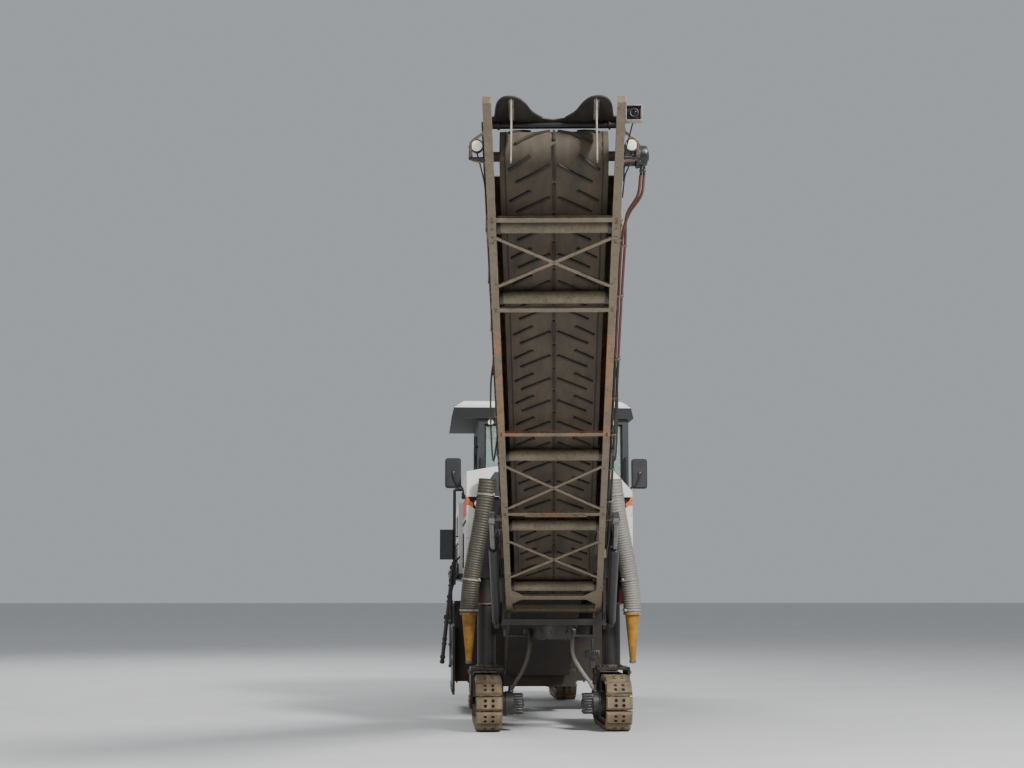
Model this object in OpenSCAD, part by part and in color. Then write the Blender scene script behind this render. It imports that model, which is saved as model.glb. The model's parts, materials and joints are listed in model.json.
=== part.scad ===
// Cold planer: a four-track milling machine with a glazed cab and a front discharge conveyor.
// +X points forward, +Y to the machine's left, +Z up, and the tracks stand on z = 0.

/* [Tracks] */
// Length of a track unit over its shoes
track_l = 1700; // [1600:10:1800]
// Width of a track shoe
track_w = 300; // [280:5:320]
// Height of a track unit over its shoes
track_h = 620; // [600:5:640]
// Number of shoes round one track
shoe_count = 24; // [20:1:26]
// Height of a shoe above the chain
shoe_t = 45; // [35:1:50]
// Gap between two shoes
shoe_gap = 16; // [10:1:24]
// Thickness of the chain under the shoes
chain_t = 50; // [40:1:60]
// Width of the chain under the shoes
chain_w = 190; // [160:5:210]
// Distance between the centres of the two front tracks
front_gauge = 1470; // [1460:5:1500]
// Distance between the centres of the two rear tracks
rear_gauge = 1240; // [1200:5:1280]
// Distance between the front and the rear kingpins
wheelbase = 5600; // [5550:10:5700]
// Diameter of a bottom roller
roller_d = 130; // [110:5:140]
// Number of bottom rollers in a track unit
roller_count = 5; // [3:1:6]
// Thickness of a yoke's side plate
yoke_side_t = 30; // [20:2:40]
// Thickness of a yoke's top plate
yoke_top_t = 30; // [24:2:40]
// Free height between the shoes and the yoke's top plate
yoke_clear = 50; // [40:5:60]
// Length of a yoke along the track
yoke_l = 520; // [460:10:600]
// Diameter of the pin that carries a roller frame
yoke_pin_d = 90; // [70:5:110]

/* [Lifting columns] */
// Outside diameter of a lifting column's inner tube
column_d = 215; // [200:5:230]
// Wall of a column guide
guide_wall = 30; // [20:2:40]
// Height of the top of the columns
column_top_z = 2340; // [2320:5:2360]

/* [Chassis] */
// Height of the underside of the longitudinal beams
beam_z = 1450; // [1430:5:1460]
// Depth of a longitudinal beam
beam_h = 280; // [240:10:300]
// Width of a longitudinal beam
beam_w = 110; // [90:5:120]
// Clear width between the two beams
beam_inner_w = 1000; // [980:10:1020]
// Distance from the front face of the front tracks back to the front of the beams
beam_setback = 660; // [650:5:670]
// Length of the chassis beams
beam_l = 6750; // [6650:10:6850]
// Bore of a lifting eye
lift_eye_d = 60; // [40:5:70]
// Thickness of a lifting eye
lift_eye_t = 40; // [30:5:60]

/* [Front body] */
// Half width of the front body
body_half_w = 980; // [960:5:1000]
// Length of the front body
body_l = 1700; // [1600:10:1800]
// Height of the hood's top
hood_z = 3000; // [2960:10:3040]
// Height of the lower edge of the hood
hood_edge_z = 2680; // [2640:10:2700]
// Height of the lower edge of the lamp band
band_z = 2480; // [2450:10:2500]
// Width of the tunnel for the primary conveyor
tunnel_w = 1000; // [980:10:1020]
// Height of the top of that tunnel
tunnel_z = 2420; // [2410:5:2440]
// Thickness of a cladding panel
panel_t = 40; // [30:2:50]
// Diameter of a front lamp
lamp_d = 90; // [70:5:100]

/* [Cab] */
// Distance from the front face of the front tracks back to the cab
cab_setback = 2600; // [2560:10:2700]
// Length of the cab
cab_l = 2000; // [1900:10:2050]
// Right side of the cab
cab_right_y = -780; // [-820:10:-740]
// Left side of the cab
cab_left_y = 1180; // [1140:10:1200]
// Height of the platform's floor
floor_z = 1800; // [1780:5:1840]
// Height of the top of the cab's walls
cab_top_z = 3820; // [3760:10:3860]
// Thickness of a pillar
pillar_t = 80; // [60:5:100]
// Height of the cab's sills over the floor
sill_h = 420; // [350:10:500]
// Thickness of a glass pane
glass_t = 8; // [6:1:12]
// Height of the roof
roof_h = 210; // [180:10:240]
// Right edge of the roof
roof_right_y = -1130; // [-1160:10:-1080]
// Overhang of the roof past the cab at front, rear and left
roof_over = 60; // [30:10:100]

/* [Milling unit] */
// Distance from the front face of the front tracks back to the drum axis
drum_setback = 3950; // [3900:10:4000]
// Height of the drum axis
drum_z = 840; // [820:5:850]
// Radius of the drum body
drum_r = 400; // [380:5:410]
// Height of a pick with its holder
pick_h = 105; // [90:5:115]
// Number of picks on each half of the drum
pick_count = 34; // [20:1:40]
// Length of the milling drum
drum_w = 2000; // [1960:10:2020]
// Free height between the picks and the housing
housing_clear = 50; // [40:5:60]
// Thickness of the housing
housing_t = 30; // [20:2:40]
// Height of the housing's lower edge
housing_edge_z = 400; // [380:5:450]
// Height of the underside of an edge protector
protector_z = 225; // [200:5:260]
// Height of an edge protector
protector_h = 900; // [850:10:950]
// Length of an edge protector
protector_l = 1500; // [1450:10:1550]

/* [Discharge conveyor] */
// Incline of the conveyor as it stands
incline = 29; // [25:0.5:32]
// Angle by which the conveyor is slewed to the machine's right
slew = 4.35; // [0:0.05:6]
// Distance of the slewing axis behind the front face of the front tracks
slew_setback = 100; // [90:5:110]
// Distance from the slewing axis forward to the conveyor's pivot
pivot_u = 110; // [100:5:120]
// Height of the conveyor's pivot
pivot_z = 1630; // [1620:5:1640]
// Distance of the pivot from the lower end of the frame, along the conveyor
pivot_s = 150; // [140:5:180]
// Height of the pivot over the underside of the frame, square to the conveyor
pivot_n = 250; // [240:5:260]
// Length of the conveyor frame
conveyor_l = 7900; // [7700:50:8100]
// Outside width of the conveyor frame
conveyor_w = 1070; // [1060:5:1080]
// Width of a side rail
rail_w = 65; // [55:5:70]
// Depth of a side rail's lower chord
rail_h = 70; // [60:5:80]
// Depth of the side plates
web_h = 580; // [570:5:600]
// Thickness of the side plates
web_t = 12; // [8:1:16]
// Width of the belt
belt_w = 860; // [840:10:870]
// Thickness of the belt
belt_t = 18; // [14:1:20]
// Radius of the belt's drums
belt_drum_r = 180; // [170:5:190]
// Height of the drum axes over the underside of the frame
belt_axis_n = 330; // [325:5:340]
// Place of the tail drum along the conveyor
tail_s = 260; // [250:10:280]
// Place of the head drum along the conveyor
head_s = 6990; // [6900:10:7050]
// Pitch of the chevrons on the belt
chevron_pitch = 240; // [200:10:300]
// Height of a chevron
chevron_h = 16; // [10:1:18]
// Diameter of a return roller
return_roller_d = 108; // [100:2:110]
// Diameter of a work lamp
work_lamp_d = 105; // [90:5:110]

/* [Lift cylinders] */
// Distance of a lift cylinder from the middle of the conveyor
cylinder_v = 645; // [640:5:660]
// Outside diameter of a barrel
barrel_d = 100; // [80:5:110]
// Diameter of a piston rod
rod_d = 55; // [45:5:60]
// Length of a barrel from its eye
barrel_l = 1450; // [1400:10:1500]
// Place of the rod's eye along the conveyor
rod_eye_s = 1900; // [1880:10:1950]
// Height of the rod's eye over the underside of the frame
rod_eye_n = 80; // [70:5:100]
// Distance of the barrel's eye behind the pivot
barrel_eye_back = 50; // [30:5:60]
// Distance of the barrel's eye under the pivot
barrel_eye_drop = 410; // [400:5:420]

/* [Hidden] */
// Running clearance between a bore and what turns in it
fit_gap = 0.4;
// Clearance between flat faces that move past each other
face_gap = 0.4;
// Clearance that a moving part keeps from what it passes
run_gap = 15;

// Reach of the conveyor's tip ahead of the slewing axis, and the overall length
tip_reach = (pivot_u + (conveyor_l - pivot_s) * cos(incline) + pivot_n * sin(incline)) * cos(slew);
rear_reach = beam_setback + beam_l + 120;
front_x = (rear_reach - (tip_reach - slew_setback)) / 2;
slew_x = front_x - slew_setback;
front_kingpin_x = front_x - track_l / 2;
rear_kingpin_x = front_kingpin_x - wheelbase;
drum_x = front_x - drum_setback;
beam_front_x = front_x - beam_setback;
beam_rear_x = beam_front_x - beam_l;
beam_y = beam_inner_w / 2;
body_front_x = beam_front_x;
body_rear_x = body_front_x - body_l;
cab_front_x = front_x - cab_setback;
cab_rear_x = cab_front_x - cab_l;

// Helpers

// A block between two opposite corners
module block(a, b) {
    translate([min(a.x, b.x), min(a.y, b.y), min(a.z, b.z)])
        cube([abs(b.x - a.x), abs(b.y - a.y), abs(b.z - a.z)]);
}

// A round bar across the machine, from y0 to y1
module cross_bar(d, x, z, y0, y1) {
    translate([x, min(y0, y1), z])
        rotate([-90, 0, 0])
            cylinder(d = d, h = abs(y1 - y0), $fn = 48);
}

// An upright round bar
module post(d, x, y, z0, z1) {
    translate([x, y, z0])
        cylinder(d = d, h = z1 - z0, $fn = 48);
}

// An outline in x and z, drawn out across the machine from y0 to y1
module slab(points, y0, y1) {
    translate([0, max(y0, y1), 0])
        rotate([90, 0, 0])
            linear_extrude(abs(y1 - y0))
                polygon(points);
}

// A round bar between two points
module strut(a, b, d) {
    run = b - a;
    translate(a)
        rotate([0, acos(run.z / norm(run)), atan2(run.y, run.x)])
            cylinder(d = d, h = norm(run), $fn = 24);
}

module both_sides() {
    children();
    mirror([0, 1, 0])
        children();
}

// Track units

end_r = track_h / 2 - shoe_t;
end_x = (track_l - track_h) / 2;
loop_len = 4 * end_x + 2 * PI * end_r;
shoe_pitch = loop_len / shoe_count;
shoe_sink = 15;
wheel_r = end_r - chain_t - fit_gap;
wheel_w = 110;
frame_w = 150;
frame_h = 190;
hub_d = 260;
hub_w = 130;
yoke_in_w = track_w + 2 * 12;
yoke_out_w = yoke_in_w + 2 * yoke_side_t;
yoke_z = track_h + yoke_clear;
yoke_top_z = yoke_z + yoke_top_t;

// A round-ended outline about the track's middle
module stadium(r) {
    square([2 * end_x, 2 * r], center = true);
    for (side = [-1, 1])
        translate([side * end_x, 0])
            circle(r, $fn = 64);
}

// Place of a point at distance p along the loop: [x, z, angle of the outward normal]
function loop_place(p) =
    let (straight = 2 * end_x, bend = PI * end_r)
    p < straight ? [end_x - p, end_r, 90] :
    p < straight + bend ? [-end_x + end_r * cos(90 + (p - straight) / bend * 180),
                           end_r * sin(90 + (p - straight) / bend * 180),
                           90 + (p - straight) / bend * 180] :
    p < 2 * straight + bend ? [-end_x + p - straight - bend, -end_r, 270] :
    [end_x + end_r * cos(270 + (p - 2 * straight - bend) / bend * 180),
     end_r * sin(270 + (p - 2 * straight - bend) / bend * 180),
     270 + (p - 2 * straight - bend) / bend * 180];

module shoe_outline() {
    for (i = [0 : shoe_count - 1]) {
        place = loop_place((i + 0.5) * shoe_pitch);
        translate([place.x, place.y])
            rotate(place.z)
                translate([-shoe_sink, -(shoe_pitch - shoe_gap) / 2])
                    square([shoe_sink + shoe_t, shoe_pitch - shoe_gap]);
    }
}

module across_track(w) {
    translate([0, w / 2, track_h / 2])
        rotate([90, 0, 0])
            linear_extrude(w)
                children();
}

module track_loop() {
    color("#8a7355") {
        across_track(chain_w)
            difference() {
                stadium(end_r);
                stadium(end_r - chain_t);
            }
        across_track(track_w)
            intersection() {
                difference() {
                    shoe_outline();
                    stadium(end_r - shoe_sink);
                }
                stadium(track_h / 2);
            }
    }
}

// Rollers, idler, sprocket and their frame; the drive hub is on the inner side (+1 is left)
module track_rollers(inner) {
    color("#3d3935") {
        for (side = [-1, 1])
            cross_bar(2 * wheel_r, side * end_x, track_h / 2, -wheel_w / 2, wheel_w / 2);
        roller_z = shoe_t + chain_t + roller_d / 2 + fit_gap;
        roller_span = 2 * end_x - 2 * roller_d;
        for (i = [0 : roller_count - 1])
            cross_bar(roller_d, (i / (roller_count - 1) - 0.5) * roller_span, roller_z,
                -wheel_w / 2, wheel_w / 2);
        block([-end_x, -frame_w / 2, track_h / 2 - frame_h / 2],
            [end_x, frame_w / 2, track_h / 2 + frame_h / 2]);
        block([-roller_span / 2, -frame_w / 2, roller_z],
            [roller_span / 2, frame_w / 2, track_h / 2]);
        cross_bar(yoke_pin_d, 0, track_h / 2, -yoke_out_w / 2, yoke_out_w / 2);
        cross_bar(hub_d, end_x, track_h / 2, 0, inner * (track_w / 2 + hub_w));
    }
}

module track_yoke() {
    color("#34363a") {
        difference() {
            union() {
                block([-yoke_l / 2, -yoke_out_w / 2, yoke_z], [yoke_l / 2, yoke_out_w / 2, yoke_top_z]);
                for (side = [-1, 1])
                    slab([[-yoke_l / 2, yoke_z], [yoke_l / 2, yoke_z],
                            [yoke_pin_d, track_h / 2 - yoke_pin_d], [-yoke_pin_d, track_h / 2 - yoke_pin_d]],
                        side * yoke_in_w / 2, side * yoke_out_w / 2);
            }
            cross_bar(yoke_pin_d + 2 * fit_gap, 0, track_h / 2, -yoke_out_w, yoke_out_w);
        }
        post(column_d, 0, 0, yoke_top_z, column_top_z);
    }
}

module at_track(front, side) {
    translate([front ? front_kingpin_x : rear_kingpin_x, side * (front ? front_gauge : rear_gauge) / 2, 0])
        children();
}

// Chassis

guide_d = column_d + 2 * fit_gap + 2 * guide_wall;
guide_top_z = column_top_z + 60;
portal_h = 100;
portal_l = 160;
nose_z = 1050;
nose_h = 150;
nose_w = 420;
nose_plate_t = 25;
nose_back = 400;
slew_pin_d = 140;
beam_top_z = beam_z + beam_h;
cross_h = 120;
cross_l = 160;
eye_plate_l = 160;
eye_under = 90;
eye_in = 90;
front_eye_in = 400;
hanger_d = 60;
// Places of the hangers along the primary conveyor
hanger_s = [1500, 1850];

module column_guide(front, side) {
    at_track(front, side)
        post(guide_d, 0, 0, beam_z, guide_top_z);
}

// The beam that ties the two front column guides over the primary conveyor
module portal(gap) {
    block([front_kingpin_x - portal_l / 2 - gap, -front_gauge / 2, guide_top_z - portal_h - gap],
        [front_kingpin_x + portal_l / 2 + gap, front_gauge / 2, guide_top_z + gap]);
}

module chassis_frame() {
    color("#2b2d30")
        difference() {
            union() {
                both_sides()
                    block([beam_rear_x, beam_y, beam_z], [beam_front_x, beam_y + beam_w, beam_top_z]);
                for (front = [true, false])
                    for (side = [-1, 1])
                        column_guide(front, side);
                portal(0);
                // Crossmembers before the rear columns and at the rear end
                for (x = [rear_kingpin_x + nose_back, beam_rear_x + cross_l])
                    block([x - cross_l / 2, -beam_y - beam_w / 2, beam_z],
                        [x + cross_l / 2, beam_y + beam_w / 2, beam_z + cross_h]);
                // Nose console with the slewing boss, hung from the beams
                block([slew_x, -nose_w / 2, nose_z], [beam_front_x, nose_w / 2, nose_z + nose_h]);
                post(nose_w, slew_x, 0, nose_z, nose_z + nose_h);
                block([beam_front_x - nose_back, -beam_y - nose_plate_t, nose_z],
                    [beam_front_x, beam_y + nose_plate_t, nose_z + nose_plate_t]);
                both_sides()
                    block([beam_front_x - nose_back, beam_y, nose_z],
                        [beam_front_x, beam_y + nose_plate_t, beam_z]);
                // Hangers of the primary conveyor
                both_sides()
                    for (s = hanger_s)
                        cross_bar(hanger_d, primary_foot_x + s * cos(primary_incline), beam_z + beam_h / 2,
                            beam_y + 1, primary_w / 2);
                // Lifting eyes on the beams
                both_sides()
                    for (x = [beam_front_x - front_eye_in, beam_rear_x + eye_in])
                        block([x - eye_plate_l / 2, beam_y + beam_w, beam_z - eye_under],
                            [x + eye_plate_l / 2, beam_y + beam_w + lift_eye_t, beam_top_z]);
            }
            for (front = [true, false])
                for (side = [-1, 1])
                    at_track(front, side)
                        post(column_d + 2 * fit_gap, 0, 0, beam_z - 1, column_top_z + face_gap);
            post(slew_pin_d + 2 * fit_gap, slew_x, 0, nose_z - 1, nose_z + nose_h + 1);
            for (x = [beam_front_x - front_eye_in, beam_rear_x + eye_in])
                both_sides()
                    cross_bar(lift_eye_d, x, beam_z - eye_under / 2, beam_y + beam_w - 1,
                        beam_y + beam_w + lift_eye_t + 1);
        }
}

// Front body

lamp_out = 30;

// The side panels and the front flanges beside the lamp band; side is +1 or -1 in y
module front_body() {
    color("#26282b")
        difference() {
            block([body_rear_x, -body_half_w + panel_t, beam_top_z],
                [body_front_x - panel_t, body_half_w - panel_t, hood_edge_z]);
            block([body_rear_x - 1, -tunnel_w / 2, beam_top_z - 1],
                [body_front_x, tunnel_w / 2, tunnel_z]);
            for (side = [-1, 1])
                at_track(true, side)
                    post(guide_d + 2 * face_gap, 0, 0, beam_top_z - 1, guide_top_z + face_gap);
            portal(face_gap);
        }
}

// Outline of the hood seen from the front: [y, z]
hood_outline = [
    [-body_half_w, hood_edge_z], [-body_half_w, hood_z - 20], [-body_half_w + 350, hood_z + 40],
    [body_half_w - 230, hood_z], [body_half_w, hood_z - 250], [body_half_w, hood_edge_z]
];

module front_hood() {
    color("#e9e8e2")
        translate([body_rear_x, 0, 0])
            rotate([90, 0, 90])
                linear_extrude(body_l)
                    polygon(hood_outline);
}

panel_z = 1600;
flange_top_w = 170;
flange_foot_w = 70;

module side_panels() {
    color("#eceade")
        both_sides() {
            block([body_rear_x, body_half_w - panel_t, panel_z],
                [body_front_x - panel_t, body_half_w, band_z]);
            translate([body_front_x - panel_t, 0, 0])
                rotate([90, 0, 90])
                    linear_extrude(panel_t)
                        polygon([[body_half_w, panel_z], [body_half_w, band_z],
                            [body_half_w - flange_top_w, band_z], [body_half_w - flange_foot_w, panel_z]]);
        }
}

module flash_panels() {
    color("#e8501c")
        both_sides()
            block([body_rear_x, body_half_w - panel_t, band_z],
                [body_front_x - panel_t, body_half_w, hood_edge_z]);
}

// Front lamps: [y, z]
front_lamp_places = [[860, 2595], [730, 2565]];

module front_lamps() {
    color("#e6e2c8")
        both_sides()
            for (place = front_lamp_places)
                translate([body_front_x - panel_t, place.x, place.y])
                    rotate([0, 90, 0])
                        cylinder(d = lamp_d, h = lamp_out, $fn = 48);
}

marker_h = 170;

module marker_lamps() {
    color("#b3141a")
        both_sides()
            block([body_front_x - 2 * panel_t, body_half_w - 2 * flange_foot_w, panel_z - marker_h],
                [body_front_x, body_half_w, panel_z]);
}

// Platform, rails and ladders

deck_half_w = 1120;
deck_rear_x = cab_rear_x - 500;
rail_d = 38;
rail_top_z = 2870;
ladder_w = 380;
rung_count = 4;
ladder_foot_z = 520;
ladder_x = deck_rear_x + ladder_w / 2;

module platform_deck() {
    color("#2a2c2f")
        block([deck_rear_x, -deck_half_w, beam_top_z], [body_rear_x, deck_half_w, floor_z]);
}

rail_x = body_rear_x - 60;
rail_y = deck_half_w - 30;
hoop_w = 130;
rung_pitch = 300;
rung_t = 30;

module handrails() {
    color("#1f2124") {
        // Hoops at the front corners of the platform
        both_sides() {
            for (y = [rail_y, rail_y - hoop_w])
                post(rail_d, rail_x, y, floor_z, rail_top_z);
            cross_bar(rail_d, rail_x, rail_top_z, rail_y - hoop_w, rail_y);
        }
        both_sides() {
            for (x = [ladder_x - ladder_w / 2 + rail_d, ladder_x + ladder_w / 2 - rail_d])
                post(rail_d, x, rail_y, ladder_foot_z, beam_top_z);
            for (i = [0 : rung_count - 1])
                block([ladder_x - ladder_w / 2, rail_y - rung_t, ladder_foot_z + i * rung_pitch],
                    [ladder_x + ladder_w / 2, rail_y + rung_t, ladder_foot_z + i * rung_pitch + rung_t]);
        }
    }
}

// Cab

sill_z = floor_z + sill_h;
header_z = cab_top_z - pillar_t;
door_x0 = cab_rear_x + 900;
door_x1 = cab_front_x - 250;
door_t = 50;

module cab_frame() {
    color("#303438")
        difference() {
            block([cab_rear_x, cab_right_y, floor_z], [cab_front_x, cab_left_y, cab_top_z]);
            block([cab_rear_x + pillar_t, cab_right_y + pillar_t, floor_z - 1],
                [cab_front_x - pillar_t, cab_left_y - pillar_t, cab_top_z + 1]);
            // Front and rear windows
            block([cab_rear_x - 1, cab_right_y + pillar_t, sill_z],
                [cab_front_x + 1, cab_left_y - pillar_t, header_z]);
            // Left window, and the right window behind the door
            block([cab_rear_x + pillar_t, cab_right_y + pillar_t, sill_z],
                [cab_front_x - pillar_t, cab_left_y + 1, header_z]);
            block([cab_rear_x + pillar_t, cab_right_y - 1, sill_z],
                [door_x0 - pillar_t, cab_right_y + pillar_t + 1, header_z]);
            // Doorway
            block([door_x0, cab_right_y - 1, floor_z + pillar_t],
                [door_x1, cab_right_y + pillar_t + 1, header_z]);
        }
}

module cab_glass() {
    color("#8fb0ad", 0.5) {
        for (x = [cab_rear_x + pillar_t / 2, cab_front_x - pillar_t / 2])
            block([x - glass_t / 2, cab_right_y + pillar_t, sill_z],
                [x + glass_t / 2, cab_left_y - pillar_t, header_z]);
        block([cab_rear_x + pillar_t, cab_left_y - pillar_t / 2 - glass_t / 2, sill_z],
            [cab_front_x - pillar_t, cab_left_y - pillar_t / 2 + glass_t / 2, header_z]);
        block([cab_rear_x + pillar_t, cab_right_y + pillar_t / 2 - glass_t / 2, sill_z],
            [door_x0 - pillar_t, cab_right_y + pillar_t / 2 + glass_t / 2, header_z]);
    }
}

module cab_roof() {
    color("#f0efea")
        translate([cab_rear_x - roof_over, 0, 0])
            rotate([90, 0, 90])
                linear_extrude(cab_l + 2 * roof_over)
                    polygon([[roof_right_y, cab_top_z], [roof_right_y + 30, cab_top_z + roof_h - 80],
                        [roof_right_y + 160, cab_top_z + roof_h], [cab_left_y + roof_over - 160, cab_top_z + roof_h],
                        [cab_left_y + roof_over - 30, cab_top_z + roof_h - 80], [cab_left_y + roof_over, cab_top_z]]);
}

cab_door_gap = 6;

knuckle_d = 24;
knuckle_h = 140;
hinge_x = door_x0 - 8;
hinge_y = cab_right_y - knuckle_d / 2 - face_gap;
knuckle_z = [floor_z + 300, header_z - 450];

module cab_door() {
    color("#303438")
        for (z = knuckle_z) {
            post(knuckle_d, hinge_x, hinge_y, z, z + knuckle_h);
            block([hinge_x, hinge_y - knuckle_d / 2, z], [hinge_x + 70, hinge_y, z + knuckle_h]);
            block([door_x0 + cab_door_gap, hinge_y - knuckle_d / 2, z], [hinge_x + 70, cab_right_y, z + knuckle_h]);
        }
    color("#303438")
        difference() {
            block([door_x0 + cab_door_gap, cab_right_y, floor_z + pillar_t + cab_door_gap],
                [door_x1 - cab_door_gap, cab_right_y + door_t, header_z - cab_door_gap]);
            block([door_x0 + pillar_t, cab_right_y - 1, sill_z],
                [door_x1 - pillar_t, cab_right_y + door_t + 1, header_z - pillar_t]);
        }
    color("#8fb0ad", 0.5)
        block([door_x0 + pillar_t, cab_right_y + door_t / 2 - glass_t / 2, sill_z],
            [door_x1 - pillar_t, cab_right_y + door_t / 2 + glass_t / 2, header_z - pillar_t]);
}

seat_w = 500;
seat_y = 700;

module seats() {
    color("#26272a")
        for (y = [-300, seat_y])
            translate([cab_rear_x + 500, y, floor_z]) {
                block([-120, -140, 0], [160, 140, 380]);
                block([-250, -seat_w / 2, 380], [250, seat_w / 2, 500]);
                block([-370, -seat_w / 2, 500], [-250, seat_w / 2, 1150]);
            }
}

module consoles() {
    color("#3a3d40")
        for (y = [-300, seat_y])
            translate([cab_front_x - 420, y, floor_z])
                slab([[-120, 0], [160, 0], [200, 900], [-100, 1050], [-160, 1000]], -240, 240);
}

// Engine and its bay

bay_front_x = deck_rear_x - 40;
bay_rear_x = beam_rear_x - 60;
bay_top_z = 2300;
bay_wall = 40;
bay_foot_z = 1450;
hood_top_z = 2850;
hood_t = 30;
engine_l = 1500;
engine_w = 820;
engine_h = 780;
grille_t = 60;
slat_count = 12;

module engine_block() {
    color("#6d6f70")
        block([rear_kingpin_x - engine_l / 2, -engine_w / 2, beam_z + cross_h],
            [rear_kingpin_x + engine_l / 2, engine_w / 2, beam_z + cross_h + engine_h]);
}

module engine_bay() {
    color("#e9e8e2")
        difference() {
            block([bay_rear_x, -body_half_w, beam_top_z], [bay_front_x, body_half_w, bay_top_z]);
            block([bay_rear_x + grille_t, -body_half_w + bay_wall, beam_top_z - 1],
                [bay_front_x - bay_wall, body_half_w - bay_wall, bay_top_z + 1]);
            block([bay_rear_x - 1, -body_half_w + 2 * bay_wall, beam_top_z + 2 * bay_wall],
                [bay_rear_x + grille_t + 1, body_half_w - 2 * bay_wall, bay_top_z - bay_wall]);
        }
}

module radiator_grille() {
    color("#1d1f21") {
        grille_h = bay_top_z - bay_wall - beam_top_z - 2 * bay_wall;
        difference() {
            block([bay_rear_x, -body_half_w + 2 * bay_wall, beam_top_z + 2 * bay_wall],
                [bay_rear_x + grille_t, body_half_w - 2 * bay_wall, bay_top_z - bay_wall]);
            for (i = [0 : slat_count - 1])
                block([bay_rear_x - 1, -body_half_w + 3 * bay_wall,
                        beam_top_z + 2 * bay_wall + (i + 0.3) * grille_h / slat_count],
                    [bay_rear_x + grille_t / 2, body_half_w - 3 * bay_wall,
                        beam_top_z + 2 * bay_wall + (i + 0.8) * grille_h / slat_count]);
        }
    }
}

module engine_hood() {
    color("#e9e8e2")
        difference() {
            slab([[bay_rear_x, bay_top_z + face_gap], [bay_front_x, bay_top_z + face_gap],
                    [bay_front_x, hood_top_z], [bay_rear_x + 350, hood_top_z - 40], [bay_rear_x, hood_top_z - 300]],
                -body_half_w, body_half_w);
            slab([[bay_rear_x + hood_t, bay_top_z], [bay_front_x - hood_t, bay_top_z],
                    [bay_front_x - hood_t, hood_top_z - hood_t], [bay_rear_x + 350, hood_top_z - 40 - hood_t],
                    [bay_rear_x + hood_t, hood_top_z - 300 - hood_t]],
                -body_half_w + hood_t, body_half_w - hood_t);
        }
}

// Milling unit

chamber_r = drum_r + pick_h + housing_clear;
housing_r = chamber_r + housing_t;
housing_half_w = drum_w / 2 + 30;
end_plate_t = 30;
hub_seat = 20;
drum_hub_d = 300;
scraper_t = 30;
scraper_pivot_z = 1150;
board_t = 40;
board_half_w = 515;

module drum_housing() {
    color("#4a3d33")
        difference() {
            union() {
                slab([[drum_x - housing_r, housing_edge_z + 400], [drum_x - housing_r, drum_z + 300],
                        [drum_x - housing_r + 250, beam_z], [drum_x + housing_r - 250, beam_z],
                        [drum_x + housing_r, drum_z + 300], [drum_x + housing_r, housing_edge_z]],
                    -housing_half_w - end_plate_t, housing_half_w + end_plate_t);
                slab([[drum_x - housing_r, housing_edge_z], [drum_x - housing_r, drum_z],
                        [drum_x + housing_r, drum_z], [drum_x + housing_r, housing_edge_z]],
                    -housing_half_w - end_plate_t, housing_half_w + end_plate_t);
            }
            cross_bar(2 * chamber_r, drum_x, drum_z, -housing_half_w, housing_half_w);
            block([drum_x - chamber_r, -housing_half_w, housing_edge_z - 1],
                [drum_x + chamber_r, housing_half_w, drum_z]);
            // Rear opening, closed by the scraper blade
            block([drum_x - housing_r - 1, -housing_half_w, housing_edge_z - 1],
                [drum_x, housing_half_w, scraper_pivot_z - 120]);
            // Front opening for the milled material
            block([drum_x, -board_half_w + 120, housing_edge_z + 60],
                [drum_x + housing_r + 1, board_half_w - 120, drum_z + 60]);
            cross_bar(drum_hub_d + 2 * fit_gap, drum_x, drum_z, -housing_half_w - end_plate_t - 1,
                housing_half_w + end_plate_t + 1);
        }
}

pick_d = 60;
tip_d = 24;

module milling_drum() {
    color("#5a5450") {
        cross_bar(2 * drum_r, drum_x, drum_z, -drum_w / 2, drum_w / 2);
        cross_bar(drum_hub_d, drum_x, drum_z, -housing_half_w - hub_seat, housing_half_w + hub_seat);
        both_sides()
            for (i = [0 : pick_count - 1])
                translate([drum_x, (i + 0.5) * drum_w / 2 / pick_count, drum_z])
                    rotate([0, i * 53, 0])
                        translate([0, 0, drum_r - 20])
                            cylinder(d1 = pick_d, d2 = tip_d, h = pick_h + 20, $fn = 16);
    }
}

module scraper_blade() {
    color("#4a3d33") {
        block([drum_x - housing_r - face_gap - scraper_t, -housing_half_w - end_plate_t, housing_edge_z],
            [drum_x - housing_r - face_gap, housing_half_w + end_plate_t, scraper_pivot_z]);
    }
}

board_z = 350;
board_side_z = 560;
board_top_z = 680;
board_out = 300;

module gathering_board() {
    color("#6b5238") {
        translate([drum_x + housing_r + board_out, 0, 0])
            rotate([90, 0, 90])
                linear_extrude(board_t)
                    polygon([[-board_half_w, board_z], [board_half_w, board_z], [board_half_w, board_side_z],
                        [0, board_top_z], [-board_half_w, board_side_z]]);
        both_sides()
            block([drum_x + housing_r, board_half_w - board_t, housing_edge_z],
                [drum_x + housing_r + board_out, board_half_w, board_side_z]);
    }
}

module edge_protector(side) {
    color("#232528")
        slab([[drum_x - protector_l / 2, protector_z + 60], [drum_x - protector_l / 2 + 120, protector_z],
                [drum_x + protector_l / 2 - 120, protector_z], [drum_x + protector_l / 2, protector_z + 60],
                [drum_x + protector_l / 2, protector_z + protector_h],
                [drum_x - protector_l / 2, protector_z + protector_h]],
            side * (housing_half_w + end_plate_t + face_gap), side * (housing_half_w + end_plate_t + face_gap + 30));
}

module edge_protector_left() {
    edge_protector(1);
}

module edge_protector_right() {
    edge_protector(-1);
}

// Primary conveyor

primary_incline = 30.5;
primary_l = 2980;
primary_w = 840;
primary_belt_w = 740;
primary_r = 130;
primary_depth = 190;
primary_side_t = 20;
primary_foot_x = drum_x + housing_r + 500;
primary_foot_z = 740;

module on_primary() {
    translate([primary_foot_x, 0, primary_foot_z])
        rotate([0, -primary_incline, 0])
            children();
}

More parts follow.
